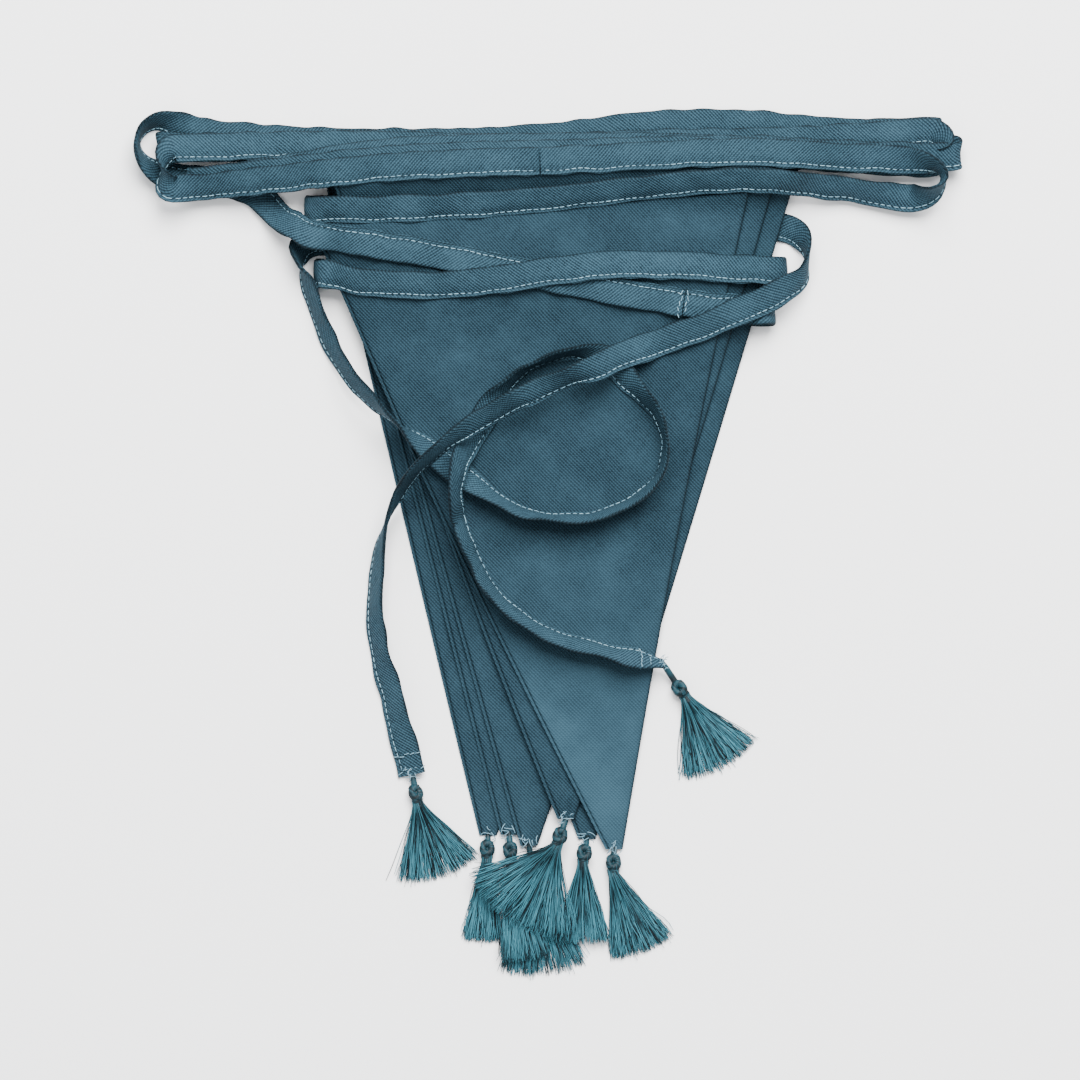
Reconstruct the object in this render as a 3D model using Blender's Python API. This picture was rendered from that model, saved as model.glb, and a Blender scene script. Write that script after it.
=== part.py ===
"""A fabric bunting, folded up and lying flat.

Six long pennants hang from one stitched tape, which is folded back and forth at the top. Its two
loose ends wrap round the stack, cross the front and end in tassels, and so does each pennant.

The tables are in millimetres, +X to the right, +Y towards the header and +Z up from the surface
that the bunting lies on. The origin is under the lowest pennant, near the middle of the stack.
"""

import math
from functools import partial
from typing import NamedTuple

import bmesh
import bpy
import numpy as np

MM = 0.001

# Driving dimensions, in millimetres.
TAPE_WIDTH = 12.5
TAPE_THICK = 1.3
TAPE_PITCH = 2.2
TAPE_STEP = 10.0
CLOTH_THICK = 1.0
CLOTH_PITCH = 1.9
FADE = 24.0
TIE_FADE = 12.0
CROSSING_GAP = 2.0
PENNANT_TIP = 7.5
PENNANT_COLUMNS = 13
PENNANT_ROWS = 20
ROW_CROWDING = 1.35
SEAM_GAP = 0.8
PIECE_GAP = 0.3
STRAND_COLUMNS = 9
STRAND_ROWS = 2
STRAND_WIDE = 1.0
STRAND_THICK = 0.9
STRAND_NARROWED = 0.74
STRAND_TIP = 0.8
STRAND_SPREADS = 0.36
STRAND_LIES = 0.42
STRAND_UNEVEN = 0.09
ROOT_WIDE = 7.0
ROOT_HIGH = 2.5
ROOT_CLEAR = 0.02
HEAD_WIDE = 7.6
HEAD_HIGH = 5.4
FAN_LAYER = 2.8

# Shares and limits that set how the tape's rows are read.
LEAST_STEP = 0.05
LEANING = 0.3
TURNED = -0.2

# Heights in the stack, from the surface up: each layer lies on all those below it. What lies on the
# ground beside the stack lifts nothing.
GROUND, FLOOR = -1, 0
RUN_LEVELS = {"E": 1, "G": 2, "F": 3, "C": 4, "M": 5, "N": 6, "A": 7, "B": 8}
FRONT_LOW, FRONT, FRONT_MID, FRONT_TOP = 9, 10, 11, 12

# The header's runs, in the order in which the tape goes through them, right and left in turn, and
# the middle line's Y of each at these X stations.
RUN_ORDER = ("B", "A", "C", "M", "N", "F", "G", "E")
FIRST_RUN_START = -95.0
LAST_RUN_END = -150.0
STATIONS = (-163, -110, -70, -30, 10, 50, 90, 130, 176)
RUNS = {
    "B": (144.6, 144.6, 144.8, 146.7, 150.0, 154.7, 157.5, 154.5, 148.3),
    "A": (153.6, 158.8, 162.8, 165.0, 166.3, 168.3, 169.8, 168.0, 165.8),
    "C": (171.6, 173.4, 173.4, 172.5, 172.5, 174.2, 174.7, 176.4, 179.5),
    "M": (155.4, 163.2, 169.8, 172.0, 172.5, 172.5, 170.7, 167.6, 165.0),
    "N": (156.5, 161.9, 166.3, 168.5, 169.4, 170.7, 171.2, 169.4, 168.0),
    "F": (172.0, 172.5, 172.0, 172.0, 172.5, 173.4, 174.2, 173.4, 171.6),
    "G": (173.0, 172.5, 174.7, 175.1, 177.8, 182.6, 183.0, 179.5, 179.0),
    "E": (180.8, 176.0, 174.7, 174.2, 174.7, 176.0, 176.9, 178.6, 180.0),
}


class Fold(NamedTuple):
    """Where one run turns back into the next: its outermost X, how far it reaches, lean and lift."""

    first: str
    second: str
    apex_x: float
    reach: float
    lean: float
    lift: float


FOLDS = (
    Fold("B", "A", 176.5, 14.0, 66.0, 6.5),
    Fold("A", "C", -165.5, 5.0, 20.0, 0.5),
    Fold("C", "M", 178.0, 7.0, 20.0, 0.0),
    Fold("M", "N", -154.0, 1.6, 0.0, 0.0),
    Fold("N", "F", 184.0, 4.0, 0.0, 0.0),
    Fold("F", "G", -167.0, 1.6, 0.0, 0.0),
    Fold("G", "E", 175.0, 1.6, 0.0, 0.0),
)


class Row(NamedTuple):
    """One row of a loose tape: its place, how it leans, and the layer it rests on or its height."""

    x: float
    y: float
    lean: float
    layer: int
    height: float = -1.0


# From the header's first run back to the first tassel. A height is the middle's, above the surface.
FIRST_TIE = (
    Row(-99.6, 144.6, 0, FLOOR, 13.5),
    Row(-102.6, 144.8, 0, FLOOR, 8.0),
    Row(-99.6, 145.2, 0, FLOOR, 1.6),
    Row(-90, 145.6, 0, FLOOR),
    Row(0, 142.0, 0, FLOOR),
    Row(95, 138.5, 0, FLOOR),
    Row(109, 137.2, 0, FLOOR, 0.9),
    Row(115.5, 131.5, 50, FLOOR, 5.6),
    Row(117.4, 123.5, 86, FLOOR, 8.4),
    Row(115.0, 115.5, 122, FLOOR, 11.0),
    Row(107.0, 109.5, 160, FLOOR, 14.8),
    Row(98.6, 105.3, 168, FLOOR, 16.0),
    Row(90, 101.4, 172, FRONT_TOP),
    Row(67.3, 91.9, 174, FRONT_TOP),
    Row(42.2, 83.1, 170, FRONT_TOP),
    Row(23.3, 75.2, 160, FRONT_TOP),
    Row(0, 66, 146, FRONT_TOP),
    Row(-24.2, 53.7, 136, FRONT_TOP),
    Row(-34.4, 47.1, 126, FLOOR, 31.0),
    Row(-44, 40, 116, FLOOR, 30.8),
    Row(-55, 29.5, 108, FLOOR, 23.0),
    Row(-61.6, 20.2, 104, FRONT_TOP),
    Row(-67.3, 8.2, 93, FRONT_TOP),
    Row(-70, -2, 70, FRONT_TOP),
    Row(-71.7, -14, 60, FRONT_TOP),
    Row(-72.6, -33, 55, FRONT_TOP),
    Row(-70.4, -49.3, 44, FRONT_TOP),
    Row(-66.4, -64.2, 38, FRONT_TOP),
    Row(-62.5, -79.2, 28, FRONT_TOP),
    Row(-58.1, -96.2, 15, FRONT_TOP),
    Row(-56.4, -103.2, 8, FRONT_TOP),
)

# From the header's last run, round the stack twice and over the front to the second tassel.
SECOND_TIE = (
    Row(-158, 182.2, 162, FLOOR, 2.6),
    Row(-167, 184.0, 128, FLOOR, 5.7),
    Row(-173.6, 181.2, 108, FLOOR, 6.5),
    Row(-176.9, 174.6, 100, FLOOR, 6.7),
    Row(-175.0, 167.8, 108, FLOOR, 6.5),
    Row(-169.4, 162.4, 136, FLOOR, 4.9),
    Row(-162, 159.8, 168, FLOOR, 1.6),
    Row(-150, 158.2, 180, FLOOR),
    Row(-134, 155.8, 180, FLOOR),
    Row(-123.5, 151.0, 172, FLOOR),
    Row(-116.0, 143.6, 165, FLOOR, 3.6),
    Row(-108.5, 138.2, 170, FLOOR, 12.6),
    Row(-101.0, 134.2, 174, FLOOR, 17.0),
    Row(-91, 132.4, 178, FRONT),
    Row(-79, 130.4, 180, FRONT),
    Row(-47.5, 125.3, 180, FRONT),
    Row(-2.6, 116.2, 180, FRONT),
    Row(27.7, 110, 180, FRONT),
    Row(63, 103.8, 180, FRONT),
    Row(80, 101.8, 180, FRONT),
    Row(91, 100.9, 180, FRONT),
    Row(98.5, 100.6, 180, FLOOR, 12.8),
    Row(102.4, 100.4, 180, FLOOR, 6.6),
    Row(98.5, 100.2, 180, FLOOR, 0.9),
    Row(60, 101.5, 180, FLOOR),
    Row(-40, 112, 180, FLOOR),
    Row(-94, 117.0, 180, FLOOR, 0.9),
    Row(-98.5, 117.2, 180, FLOOR, 6.6),
    Row(-95, 116.6, 180, FLOOR, 14.0),
    Row(-88, 115.2, 180, FRONT_MID),
    Row(-79, 113.2, 180, FRONT_MID),
    Row(-53.2, 111.5, 180, FRONT_MID),
    Row(-30.8, 112.6, 180, FRONT_MID),
    Row(-2.6, 116.4, 180, FRONT_MID),
    Row(16.7, 119.2, 180, FRONT_MID),
    Row(33.4, 120.6, 180, FRONT_MID),
    Row(59, 120.3, 180, FRONT_MID),
    Row(84, 119, 180, FRONT_MID),
    Row(96.5, 118.4, 180, FRONT_MID),
    Row(104.0, 118.2, 180, FLOOR, 10.8),
    Row(107.9, 118.2, 180, FLOOR, 5.6),
    Row(104.0, 118.2, 180, FLOOR, 0.9),
    Row(60, 121.5, 180, FLOOR),
    Row(-60, 130, 180, FLOOR),
    Row(-92, 131.2, 180, FLOOR),
    Row(-100.5, 130.8, 176, FLOOR, 0.9),
    Row(-105.4, 127.6, 150, FLOOR, 3.8),
    Row(-105.6, 121.6, 105, FLOOR, 6.6),
    Row(-103.0, 115, 66, GROUND),
    Row(-98.4, 101.5, 57, GROUND),
    Row(-92.4, 87, 56, GROUND),
    Row(-83.5, 71.7, 60, FRONT_LOW),
    Row(-71, 58.5, 68, FRONT_LOW),
    Row(-62, 50.5, 90, FRONT_LOW),
    Row(-53.5, 43.2, 128, FRONT_LOW),
    Row(-45, 36.5, 154, FRONT_LOW),
    Row(-36, 29.8, 158, FRONT_LOW),
    Row(-28.5, 24.2, 142, FRONT_LOW),
    Row(-21, 19.2, 122, FRONT_LOW),
    Row(-9, 12.6, 112, FRONT_LOW),
    Row(7, 9.8, 110, FRONT_LOW),
    Row(22, 10, 110, FRONT_LOW),
    Row(34.3, 14.1, 110, FRONT_LOW),
    Row(43.6, 19.6, 108, FRONT_LOW),
    Row(52, 28, 106, FRONT_LOW),
    Row(55, 40.5, 104, FRONT_LOW),
    Row(53.5, 49, 106, FRONT_LOW),
    Row(50.2, 57.2, 108, FRONT_LOW),
    Row(43.6, 64.7, 128, FRONT_LOW),
    Row(36.5, 72.8, 154, FRONT_LOW),
    Row(29, 79.2, 156, FRONT_LOW),
    Row(20.5, 82.0, 134, FRONT_LOW),
    Row(14, 82.2, 112, FRONT_LOW),
    Row(6, 80.4, 103, FRONT_LOW),
    Row(-6, 75.0, 103, FRONT_LOW),
    Row(-14.5, 68, 118, FRONT_LOW),
    Row(-20.5, 60.2, 150, FRONT_LOW),
    Row(-26, 51.5, 156, FRONT_LOW),
    Row(-31, 43, 142, FRONT_LOW),
    Row(-34.8, 34, 126, FRONT),
    Row(-37.0, 22, 118, FRONT),
    Row(-35.2, 8.8, 117, FRONT),
    Row(-28.6, -8.8, 118, FRONT_LOW),
    Row(-22, -21.1, 118, FRONT_LOW),
    Row(-13.2, -30.4, 118, FRONT_LOW),
    Row(-1.8, -38.3, 120, FRONT_LOW),
    Row(10.1, -44, 120, FRONT_LOW),
    Row(23, -47.1, 122, FRONT_LOW),
    Row(36.5, -50.6, 128, FRONT_LOW),
    Row(48.4, -53.2, 145, FRONT_LOW),
    Row(54.0, -54.2, 160, FRONT_LOW),
)

# The tape is sewn up from three lengths, joined in run A and where the second tie crosses the front.
HEADER_JOIN_X = -2.2
HEADER_JOIN_NEAR = 0.6
TIE_JOIN_X = 69.0
TIE_JOIN_Y = 104.0
TIE_JOIN_NEAR = 4.0


class Pennant(NamedTuple):
    """One pennant: the run it is sewn in, its top corners, tip, and how its sides bow outwards."""

    run: str
    left_x: float
    right_x: float
    tip_x: float
    tip_y: float
    bow_left: float
    bow_right: float


PENNANTS = {
    "pennant_1": Pennant("B", -100.5, 91.5, 32.6, -136.0, 3.6, -2.2),
    "pennant_2": Pennant("A", -90.0, 105.0, 11.4, -122.6, 4.6, 2.6),
    "pennant_3": Pennant("N", -88.0, 114.0, 20.6, -131.6, 1.0, 0.5),
    "pennant_4": Pennant("M", -91.0, 101.0, -4.8, -134.4, 0.5, 0.0),
    "pennant_5": Pennant("C", -94.0, 98.0, -13.6, -129.6, 0.0, 0.0),
    "pennant_6": Pennant("F", -96.5, 101.0, -22.9, -130.0, 0.5, 0.0),
}


class Tassel(NamedTuple):
    """One tassel: where its head meets the tip, its neck, fan layer, spread from -Y, and length."""

    tip_x: float
    tip_y: float
    neck_x: float
    neck_y: float
    layer: int
    low: float
    high: float
    length: float


TASSELS = {
    "tassel_1": Tassel(32.6, -136.0, 32.2, -146.6, 0, 1.0, 41.0, 38.0),
    "tassel_2": Tassel(11.4, -122.6, 7.2, -134.4, 2, -72.0, 8.0, 40.0),
    "tassel_3": Tassel(20.6, -131.6, 18.7, -142.2, 1, -16.0, 17.0, 36.0),
    "tassel_4": Tassel(-4.8, -134.4, -3.2, -146.4, 0, -17.0, 30.0, 46.0),
    "tassel_5": Tassel(-13.6, -129.6, -12.6, -141.0, 1, -4.0, 20.0, 45.0),
    "tassel_6": Tassel(-22.9, -130.0, -23.4, -140.4, 0, -14.0, 8.0, 37.0),
    "tassel_7": Tassel(-56.2, -102.9, -53.7, -115.8, 0, -12.0, 46.0, 35.0),
    "tassel_8": Tassel(54.1, -54.3, 64.0, -69.2, 0, 0.0, 56.0, 36.0),
}

FINISHES = {
    "cloth": ((0.068, 0.146, 0.205, 1.0), 0.85),
    "tape": ((0.075, 0.155, 0.215, 1.0), 0.85),
    "floss": ((0.030, 0.145, 0.190, 1.0), 0.55),
}


def smooth(value: np.ndarray) -> np.ndarray:
    """Ease from 0 to 1 over the range 0 to 1."""
    held = np.clip(value, 0.0, 1.0)
    return held * held * (3.0 - 2.0 * held)


def run_y(run: str, x: np.ndarray) -> np.ndarray:
    """The middle line's Y of a header run at each X."""
    return np.interp(x, STATIONS, RUNS[run])


def nearest_on_path(points: np.ndarray, path: np.ndarray) -> tuple[np.ndarray, np.ndarray]:
    """The plan distance from each point to the edge of a path, and how thick the path lies there.

    A row of the path holds its X, its Y, its thickness and half of its width.
    """
    best = np.full(len(points), 1e9)
    height = np.zeros(len(points))
    for start, end in zip(path[:-1], path[1:]):
        along = end[:2] - start[:2]
        share = np.clip((points - start[:2]) @ along / (along @ along), 0.0, 1.0)
        offset = points - start[:2] - share[:, None] * along
        distance = np.hypot(offset[:, 0], offset[:, 1]) - (start[3] + (end[3] - start[3]) * share)
        height = np.where(distance < best, start[2] + (end[2] - start[2]) * share, height)
        best = np.minimum(best, distance)
    return best, height


def pennant_sides(pennant: Pennant, share: np.ndarray) -> tuple[np.ndarray, np.ndarray]:
    """The X of a pennant's left and right side at each share of the way from its top to its tip."""
    bulge = np.sin(math.pi * share)
    left = pennant.left_x + (pennant.tip_x - PENNANT_TIP / 2 - pennant.left_x) * share
    right = pennant.right_x + (pennant.tip_x + PENNANT_TIP / 2 - pennant.right_x) * share
    return left - pennant.bow_left * bulge, right + pennant.bow_right * bulge


def pennant_top(pennant: Pennant, x: np.ndarray) -> np.ndarray:
    """The Y of a pennant's top edge, just below the tape that holds it."""
    return run_y(pennant.run, x) - TAPE_WIDTH / 2 - SEAM_GAP


def lift_of_pennant(pennant: Pennant, points: np.ndarray) -> np.ndarray:
    """How far a pennant lifts what lies over it, fading to nothing well outside it."""
    top = pennant_top(pennant, points[:, 0])
    share = np.clip((top - points[:, 1]) / (top - pennant.tip_y), 0.0, 1.0)
    left, right = pennant_sides(pennant, share)
    across = np.maximum(left - points[:, 0], points[:, 0] - right)
    along = np.maximum(points[:, 1] - top, pennant.tip_y - points[:, 1])
    outside = np.hypot(np.maximum(across, 0.0), np.maximum(along, 0.0))
    return CLOTH_PITCH * smooth(1.0 - outside / FADE)


def lift_of_tape(path: np.ndarray, fade: float, points: np.ndarray) -> np.ndarray:
    """How far a tape lifts what lies over it, fading to nothing well outside it."""
    distance, height = nearest_on_path(points, path)
    return height * smooth(1.0 - distance / fade)


def path_row(row: Row) -> tuple[float, float, float, float]:
    """A tie row's place, how thick the tape lies there, and half of the width that it covers."""
    lean = math.radians(row.lean)
    thick = TAPE_PITCH + (TAPE_WIDTH + CROSSING_GAP) * abs(math.sin(lean))
    return row.x, row.y, thick, TAPE_WIDTH / 2 * abs(math.cos(lean))


def resting_stretches(rows: tuple[Row, ...]) -> list[tuple[int, np.ndarray]]:
    """Each stretch of a tie that lies on one layer, as that layer and its plan path.

    A stretch takes in the row on each side of it where that one lies lower.
    """
    found = []
    start = 0
    for index in range(1, len(rows) + 1):
        if index < len(rows) and lies_on(rows[index]) == lies_on(rows[start]):
            continue
        layer = lies_on(rows[start])
        first = start - 1 if start and lies_on(rows[start - 1]) < layer else start
        last = index + 1 if index < len(rows) and lies_on(rows[index]) < layer else index
        if layer not in (GROUND, math.inf) and last > first + 1:
            found.append((layer, np.array([path_row(row) for row in rows[first:last]])))
        start = index
    return found


def lies_on(row: Row) -> float:
    """The layer of a tie row, or none for one that is held clear of what is under it."""
    return row.layer if row.height < TAPE_PITCH else math.inf


def build_layers() -> tuple[list, list]:
    """The stack's layers, whose lifts add up, and the upper tie's, of which the highest counts.

    Each one is its level and the function of plan points that gives its lift.
    """
    stack, upper = [], []
    for run, level in RUN_LEVELS.items():
        start = FIRST_RUN_START if run == RUN_ORDER[0] else STATIONS[0]
        path = np.array([
            (x, run_y(run, x), TAPE_PITCH, TAPE_WIDTH / 2)
            for x in (start, *(station for station in STATIONS if station > start))
        ])
        stack.append((level, partial(lift_of_tape, path, FADE)))
    for pennant in PENNANTS.values():
        stack.append((RUN_LEVELS[pennant.run], partial(lift_of_pennant, pennant)))
    for rows in (FIRST_TIE, SECOND_TIE):
        for level, path in resting_stretches(rows):
            flat = level in (FLOOR, FRONT_MID)
            lift = partial(lift_of_tape, path, FADE if level == FLOOR else TIE_FADE)
            (stack if flat else upper).append((level, lift))
    return stack, upper


STACK_LAYERS, UPPER_LAYERS = build_layers()


def support(level: int, points: np.ndarray) -> np.ndarray:
    """The height on which something of this level lies at each plan point."""
    height = np.zeros(len(points))
    for below, lift in STACK_LAYERS:
        if below < level:
            height += lift(points)
    upper = [lift(points) for below, lift in UPPER_LAYERS if below < level]
    return height + np.max(upper, axis=0) if upper else height


def unit(vectors: np.ndarray) -> np.ndarray:
    """Each vector scaled to length 1."""
    return vectors / np.maximum(np.linalg.norm(vectors, axis=-1, keepdims=True), 1e-9)


def lean_vectors(plan: np.ndarray, leans: np.ndarray) -> np.ndarray:
    """The width directions of tape rows: across the path when flat, upright at a lean of 90."""
    heading = unit(np.gradient(plan, axis=0))
    across = np.column_stack((-heading[:, 1], heading[:, 0]))
    angle = np.radians(leans)
    return np.column_stack((across * np.cos(angle)[:, None], np.sin(angle)))


def header_rows() -> tuple[np.ndarray, np.ndarray, np.ndarray, np.ndarray]:
    """The header's control rows: places, width directions, levels, and whether each one rests."""
    places, widths, levels, rests = [], [], [], []
    for index, run in enumerate(RUN_ORDER):
        rightward = index % 2 == 0
        enter = FOLDS[index - 1] if index else None
        leave = FOLDS[index] if index < len(FOLDS) else None
        inset = 1.0 if rightward else -1.0
        first = enter.apex_x + inset * enter.reach if enter else FIRST_RUN_START
        last = leave.apex_x - inset * leave.reach if leave else LAST_RUN_END
        low, high = min(first, last) + TAPE_STEP, max(first, last) - TAPE_STEP
        stations = [first, *(x for x in STATIONS if low < x < high), last]
        for x in sorted(stations, reverse=not rightward):
            places.append((x, float(run_y(run, x)), 0.0))
            widths.append((0.0, 1.0, 0.0))
            levels.append(RUN_LEVELS[run])
            rests.append(1.0)
        if leave:
            add_fold(leave, last, places, widths, levels, rests)
    return np.array(places), np.array(widths), np.array(levels), np.array(rests)


def add_fold(fold: Fold, start_x: float, places: list, widths: list, levels: list, rests: list):
    """Add the rows of one fold, which turns round from its first run into its second."""
    ends = []
    for run in (fold.first, fold.second):
        y = float(run_y(run, start_x))
        place = np.array([(start_x, y, 0.0)])
        height = settle(place, np.array([(0.0, 1.0, 0.0)]), np.array([RUN_LEVELS[run]]))
        ends.append((y, float(height[0])))
    (first_y, first_z), (second_y, second_z) = ends
    outward = 1.0 if fold.apex_x > 0 else -1.0
    for degrees in (-62, -36, -12, 12, 36, 62):
        angle = math.radians(degrees)
        share = (1.0 + math.sin(angle)) / 2.0
        bulge = min(1.0, 1.5 * math.cos(angle))
        lean = math.radians(fold.lean) * bulge
        places.append((
            start_x + outward * fold.reach * math.cos(angle),
            first_y + (second_y - first_y) * share,
            first_z + (second_z - first_z) * share + fold.lift * bulge,
        ))
        widths.append((0.0, math.cos(lean), math.sin(lean)))
        levels.append(RUN_LEVELS[fold.second if share > 0.5 else fold.first])
        rests.append(0.0)


def tie_rows(rows: tuple[Row, ...]) -> tuple[np.ndarray, np.ndarray, np.ndarray, np.ndarray]:
    """A tie's control rows, in the same form as the header's."""
    places = np.array([(row.x, row.y, max(row.height, 0.0)) for row in rows])
    leans = np.array([row.lean for row in rows])
    widths = lean_vectors(places[:, :2], leans)
    for index, row in enumerate(rows):
        if row.height >= 0 and row.lean in (0, 180):
            widths[index] = (0.0, 1.0 if row.lean == 0 else -1.0, 0.0)
    levels = np.array([row.layer for row in rows])
    rests = np.array([1.0 if row.height < 0 else 0.0 for row in rows])
    return places, widths, levels, rests


def settle(places: np.ndarray, widths: np.ndarray, levels: np.ndarray) -> np.ndarray:
    """The middle's height where a tape row rests on the layers below it."""
    flat = widths[:, :2] * TAPE_WIDTH / 2
    heights = np.zeros(len(places))
    for level in np.unique(levels):
        chosen = levels == level
        plan = places[chosen, :2]
        middle = support(level, plan)
        left, right = support(level, plan - flat[chosen]), support(level, plan + flat[chosen])
        leaning = np.abs(widths[chosen, 2]) > LEANING
        sides = np.where(leaning, np.maximum(left, right), (left + right) / 2)
        heights[chosen] = np.maximum(middle, sides)
    lean = np.abs(widths[:, 2])
    upright = np.sqrt(np.clip(1.0 - lean * lean, 0.0, 1.0))
    return heights + TAPE_WIDTH / 2 * lean + TAPE_THICK / 2 * upright


def curve_between(values: np.ndarray, times: np.ndarray, index: int, at: np.ndarray) -> np.ndarray:
    """A smooth curve through the rows of values, read between one row and the next."""
    last = len(values) - 1
    before, after = max(index - 1, 0), min(index + 2, last)
    span = times[index + 1] - times[index]
    start_slope = (values[index + 1] - values[before]) / (times[index + 1] - times[before])
    end_slope = (values[after] - values[index]) / (times[after] - times[index])
    t = ((at - times[index]) / span)[:, None]
    return (
        values[index] * (2 * t**3 - 3 * t**2 + 1)
        + values[index + 1] * (3 * t**2 - 2 * t**3)
        + start_slope * span * (t**3 - 2 * t**2 + t)
        + end_slope * span * (t**3 - t**2)
    )


def tape_line() -> tuple[np.ndarray, np.ndarray]:
    """The whole tape from the first tassel to the second: its middle line and width directions."""
    first = [part[::-1] for part in tie_rows(FIRST_TIE)]
    header = header_rows()
    second = tie_rows(SECOND_TIE)
    places, widths, levels, rests = (
        np.concatenate(parts) for parts in zip(first, header, second)
    )
    widths = consistent(widths)
    settled = settle(places, widths, levels)
    places[:, 2] = np.where(rests > 0.5, settled, places[:, 2])
    steps = np.linalg.norm(np.diff(places, axis=0), axis=1)
    times = np.concatenate(([0.0], np.cumsum(np.maximum(steps, LEAST_STEP))))
    line, across = [], []
    for index in range(len(places) - 1):
        count = max(1, round(steps[index] / TAPE_STEP))
        at = times[index] + (times[index + 1] - times[index]) * np.arange(count) / count
        middle = curve_between(places, times, index, at)
        width = unit(curve_between(widths, times, index, at))
        if rests[index] > 0.5 and rests[index + 1] > 0.5:
            share = smooth(np.arange(count) / count)
            low = settle(middle, width, np.full(count, levels[index]))
            high = settle(middle, width, np.full(count, levels[index + 1]))
            middle[:, 2] = low + (high - low) * share
            width = unit(width + tilt(middle, width, levels[index], levels[index + 1], share))
        line.append(middle)
        across.append(width)
    line.append(places[-1:])
    across.append(widths[-1:])
    return np.concatenate(line), np.concatenate(across)


def tilt(middle: np.ndarray, width: np.ndarray, low: int, high: int, share: np.ndarray) -> np.ndarray:
    """How far a resting tape's width direction tips to follow what lies under its two edges."""
    flat = width[:, :2] * TAPE_WIDTH / 2
    rise = np.zeros(len(middle))
    for level, weight in ((low, 1.0 - share), (high, share)):
        right = support(level, middle[:, :2] + flat)
        left = support(level, middle[:, :2] - flat)
        rise += weight * (right - left) / TAPE_WIDTH
    lying = np.clip(1.0 - np.abs(width[:, 2]) * 1.5, 0.0, 1.0)
    return np.column_stack((np.zeros((len(middle), 2)), rise * lying))


def consistent(widths: np.ndarray) -> np.ndarray:
    """Width directions turned so that none points against the one before it."""
    turned = widths.copy()
    for index in range(1, len(turned)):
        if turned[index] @ turned[index - 1] < TURNED:
            turned[index] = -turned[index]
    return turned


def new_object(name: str, mesh: bpy.types.Mesh, finish: str) -> bpy.types.Object:
    """Link a mesh as a named object with its finish, in metres."""
    colour, roughness = FINISHES[finish]
    material = bpy.data.materials.get(finish) or bpy.data.materials.new(finish)
    material.use_nodes = True
    shader = material.node_tree.nodes["Principled BSDF"]
    shader.inputs["Base Color"].default_value = colour
    shader.inputs["Roughness"].default_value = roughness
    shader.inputs["Metallic"].default_value = 0.0
    mesh.materials.append(material)
    piece = bpy.data.objects.new(name, mesh)
    bpy.context.scene.collection.objects.link(piece)
    return piece


def finish_mesh(name: str, made: bmesh.types.BMesh) -> bpy.types.Mesh:
    """Scale a mesh from millimetres, face it outwards and shade it smooth."""
    bmesh.ops.scale(made, vec=(MM, MM, MM), verts=made.verts)
    bmesh.ops.recalc_face_normals(made, faces=made.faces)
    mesh = bpy.data.meshes.new(name)
    made.to_mesh(mesh)
    made.free()
    mesh.shade_smooth()
    mesh.set_sharp_from_angle(angle=math.radians(45))
    return mesh


def add_tape(name: str, line: np.ndarray, across: np.ndarray):
    """Sweep the tape's folded section along one stretch of its line."""
    heading = unit(np.gradient(line, axis=0))
    width = unit(across - heading * np.sum(across * heading, axis=1, keepdims=True))
    face = np.cross(heading, width)
    low = line[:, 2] - np.abs(width[:, 2]) * TAPE_WIDTH / 2 - np.abs(face[:, 2]) * TAPE_THICK / 2
    line[:, 2] -= np.minimum(low, 0.0)
    made = bmesh.new()
    rings = []
    for place, side, up in zip(line, width * TAPE_WIDTH / 2, face * TAPE_THICK / 2):
        corners = (place - side - up, place + side - up, place + side + up, place - side + up)
        rings.append([made.verts.new(corner) for corner in corners])
    for ring, following in zip(rings[:-1], rings[1:]):
        for corner in range(4):
            beside = (corner + 1) % 4
            made.faces.new((ring[corner], ring[beside], following[beside], following[corner]))
    made.faces.new(rings[0][::-1])
    made.faces.new(rings[-1])
    new_object(name, finish_mesh(name, made), "tape")


def add_tapes(line: np.ndarray, across: np.ndarray):
    """Make the tape's three lengths, parted at their joining seams."""
    x, y, next_x = line[:-1, 0], line[:-1, 1], line[1:, 0]
    in_header = np.abs(y - run_y("A", x)) < HEADER_JOIN_NEAR
    in_tie = np.abs(y - TIE_JOIN_Y) < TIE_JOIN_NEAR
    header = int(np.flatnonzero(in_header & (x > HEADER_JOIN_X) & (next_x <= HEADER_JOIN_X))[0])
    tie = int(np.flatnonzero(in_tie & (x < TIE_JOIN_X) & (next_x >= TIE_JOIN_X))[0])
    bounds = [(0, header), (header, tie), (tie, len(line) - 1)]
    for number, (start, end) in enumerate(bounds, 1):
        stretch = line[start:end + 1].copy()
        if start:
            stretch[0] += unit(stretch[1] - stretch[0]) * PIECE_GAP / 2
        if end < len(line) - 1:
            stretch[-1] -= unit(stretch[-1] - stretch[-2]) * PIECE_GAP / 2
        add_tape(f"tape_length_{number}", stretch, across[start:end + 1])


def pennant_points(pennant: Pennant) -> np.ndarray:
    """A pennant's plan points, row by row from its top edge to its tip."""
    share = (np.arange(PENNANT_ROWS + 1) / PENNANT_ROWS) ** ROW_CROWDING
    left, right = pennant_sides(pennant, share)
    part = (1.0 - np.cos(np.linspace(0.0, math.pi, PENNANT_COLUMNS + 1))) / 2
    top = pennant_top(pennant, pennant.left_x + (pennant.right_x - pennant.left_x) * part)
    x = left[:, None] + (right - left)[:, None] * part
    y = top + (pennant.tip_y - top) * share[:, None]
    return np.stack((x, y), axis=-1)


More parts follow.
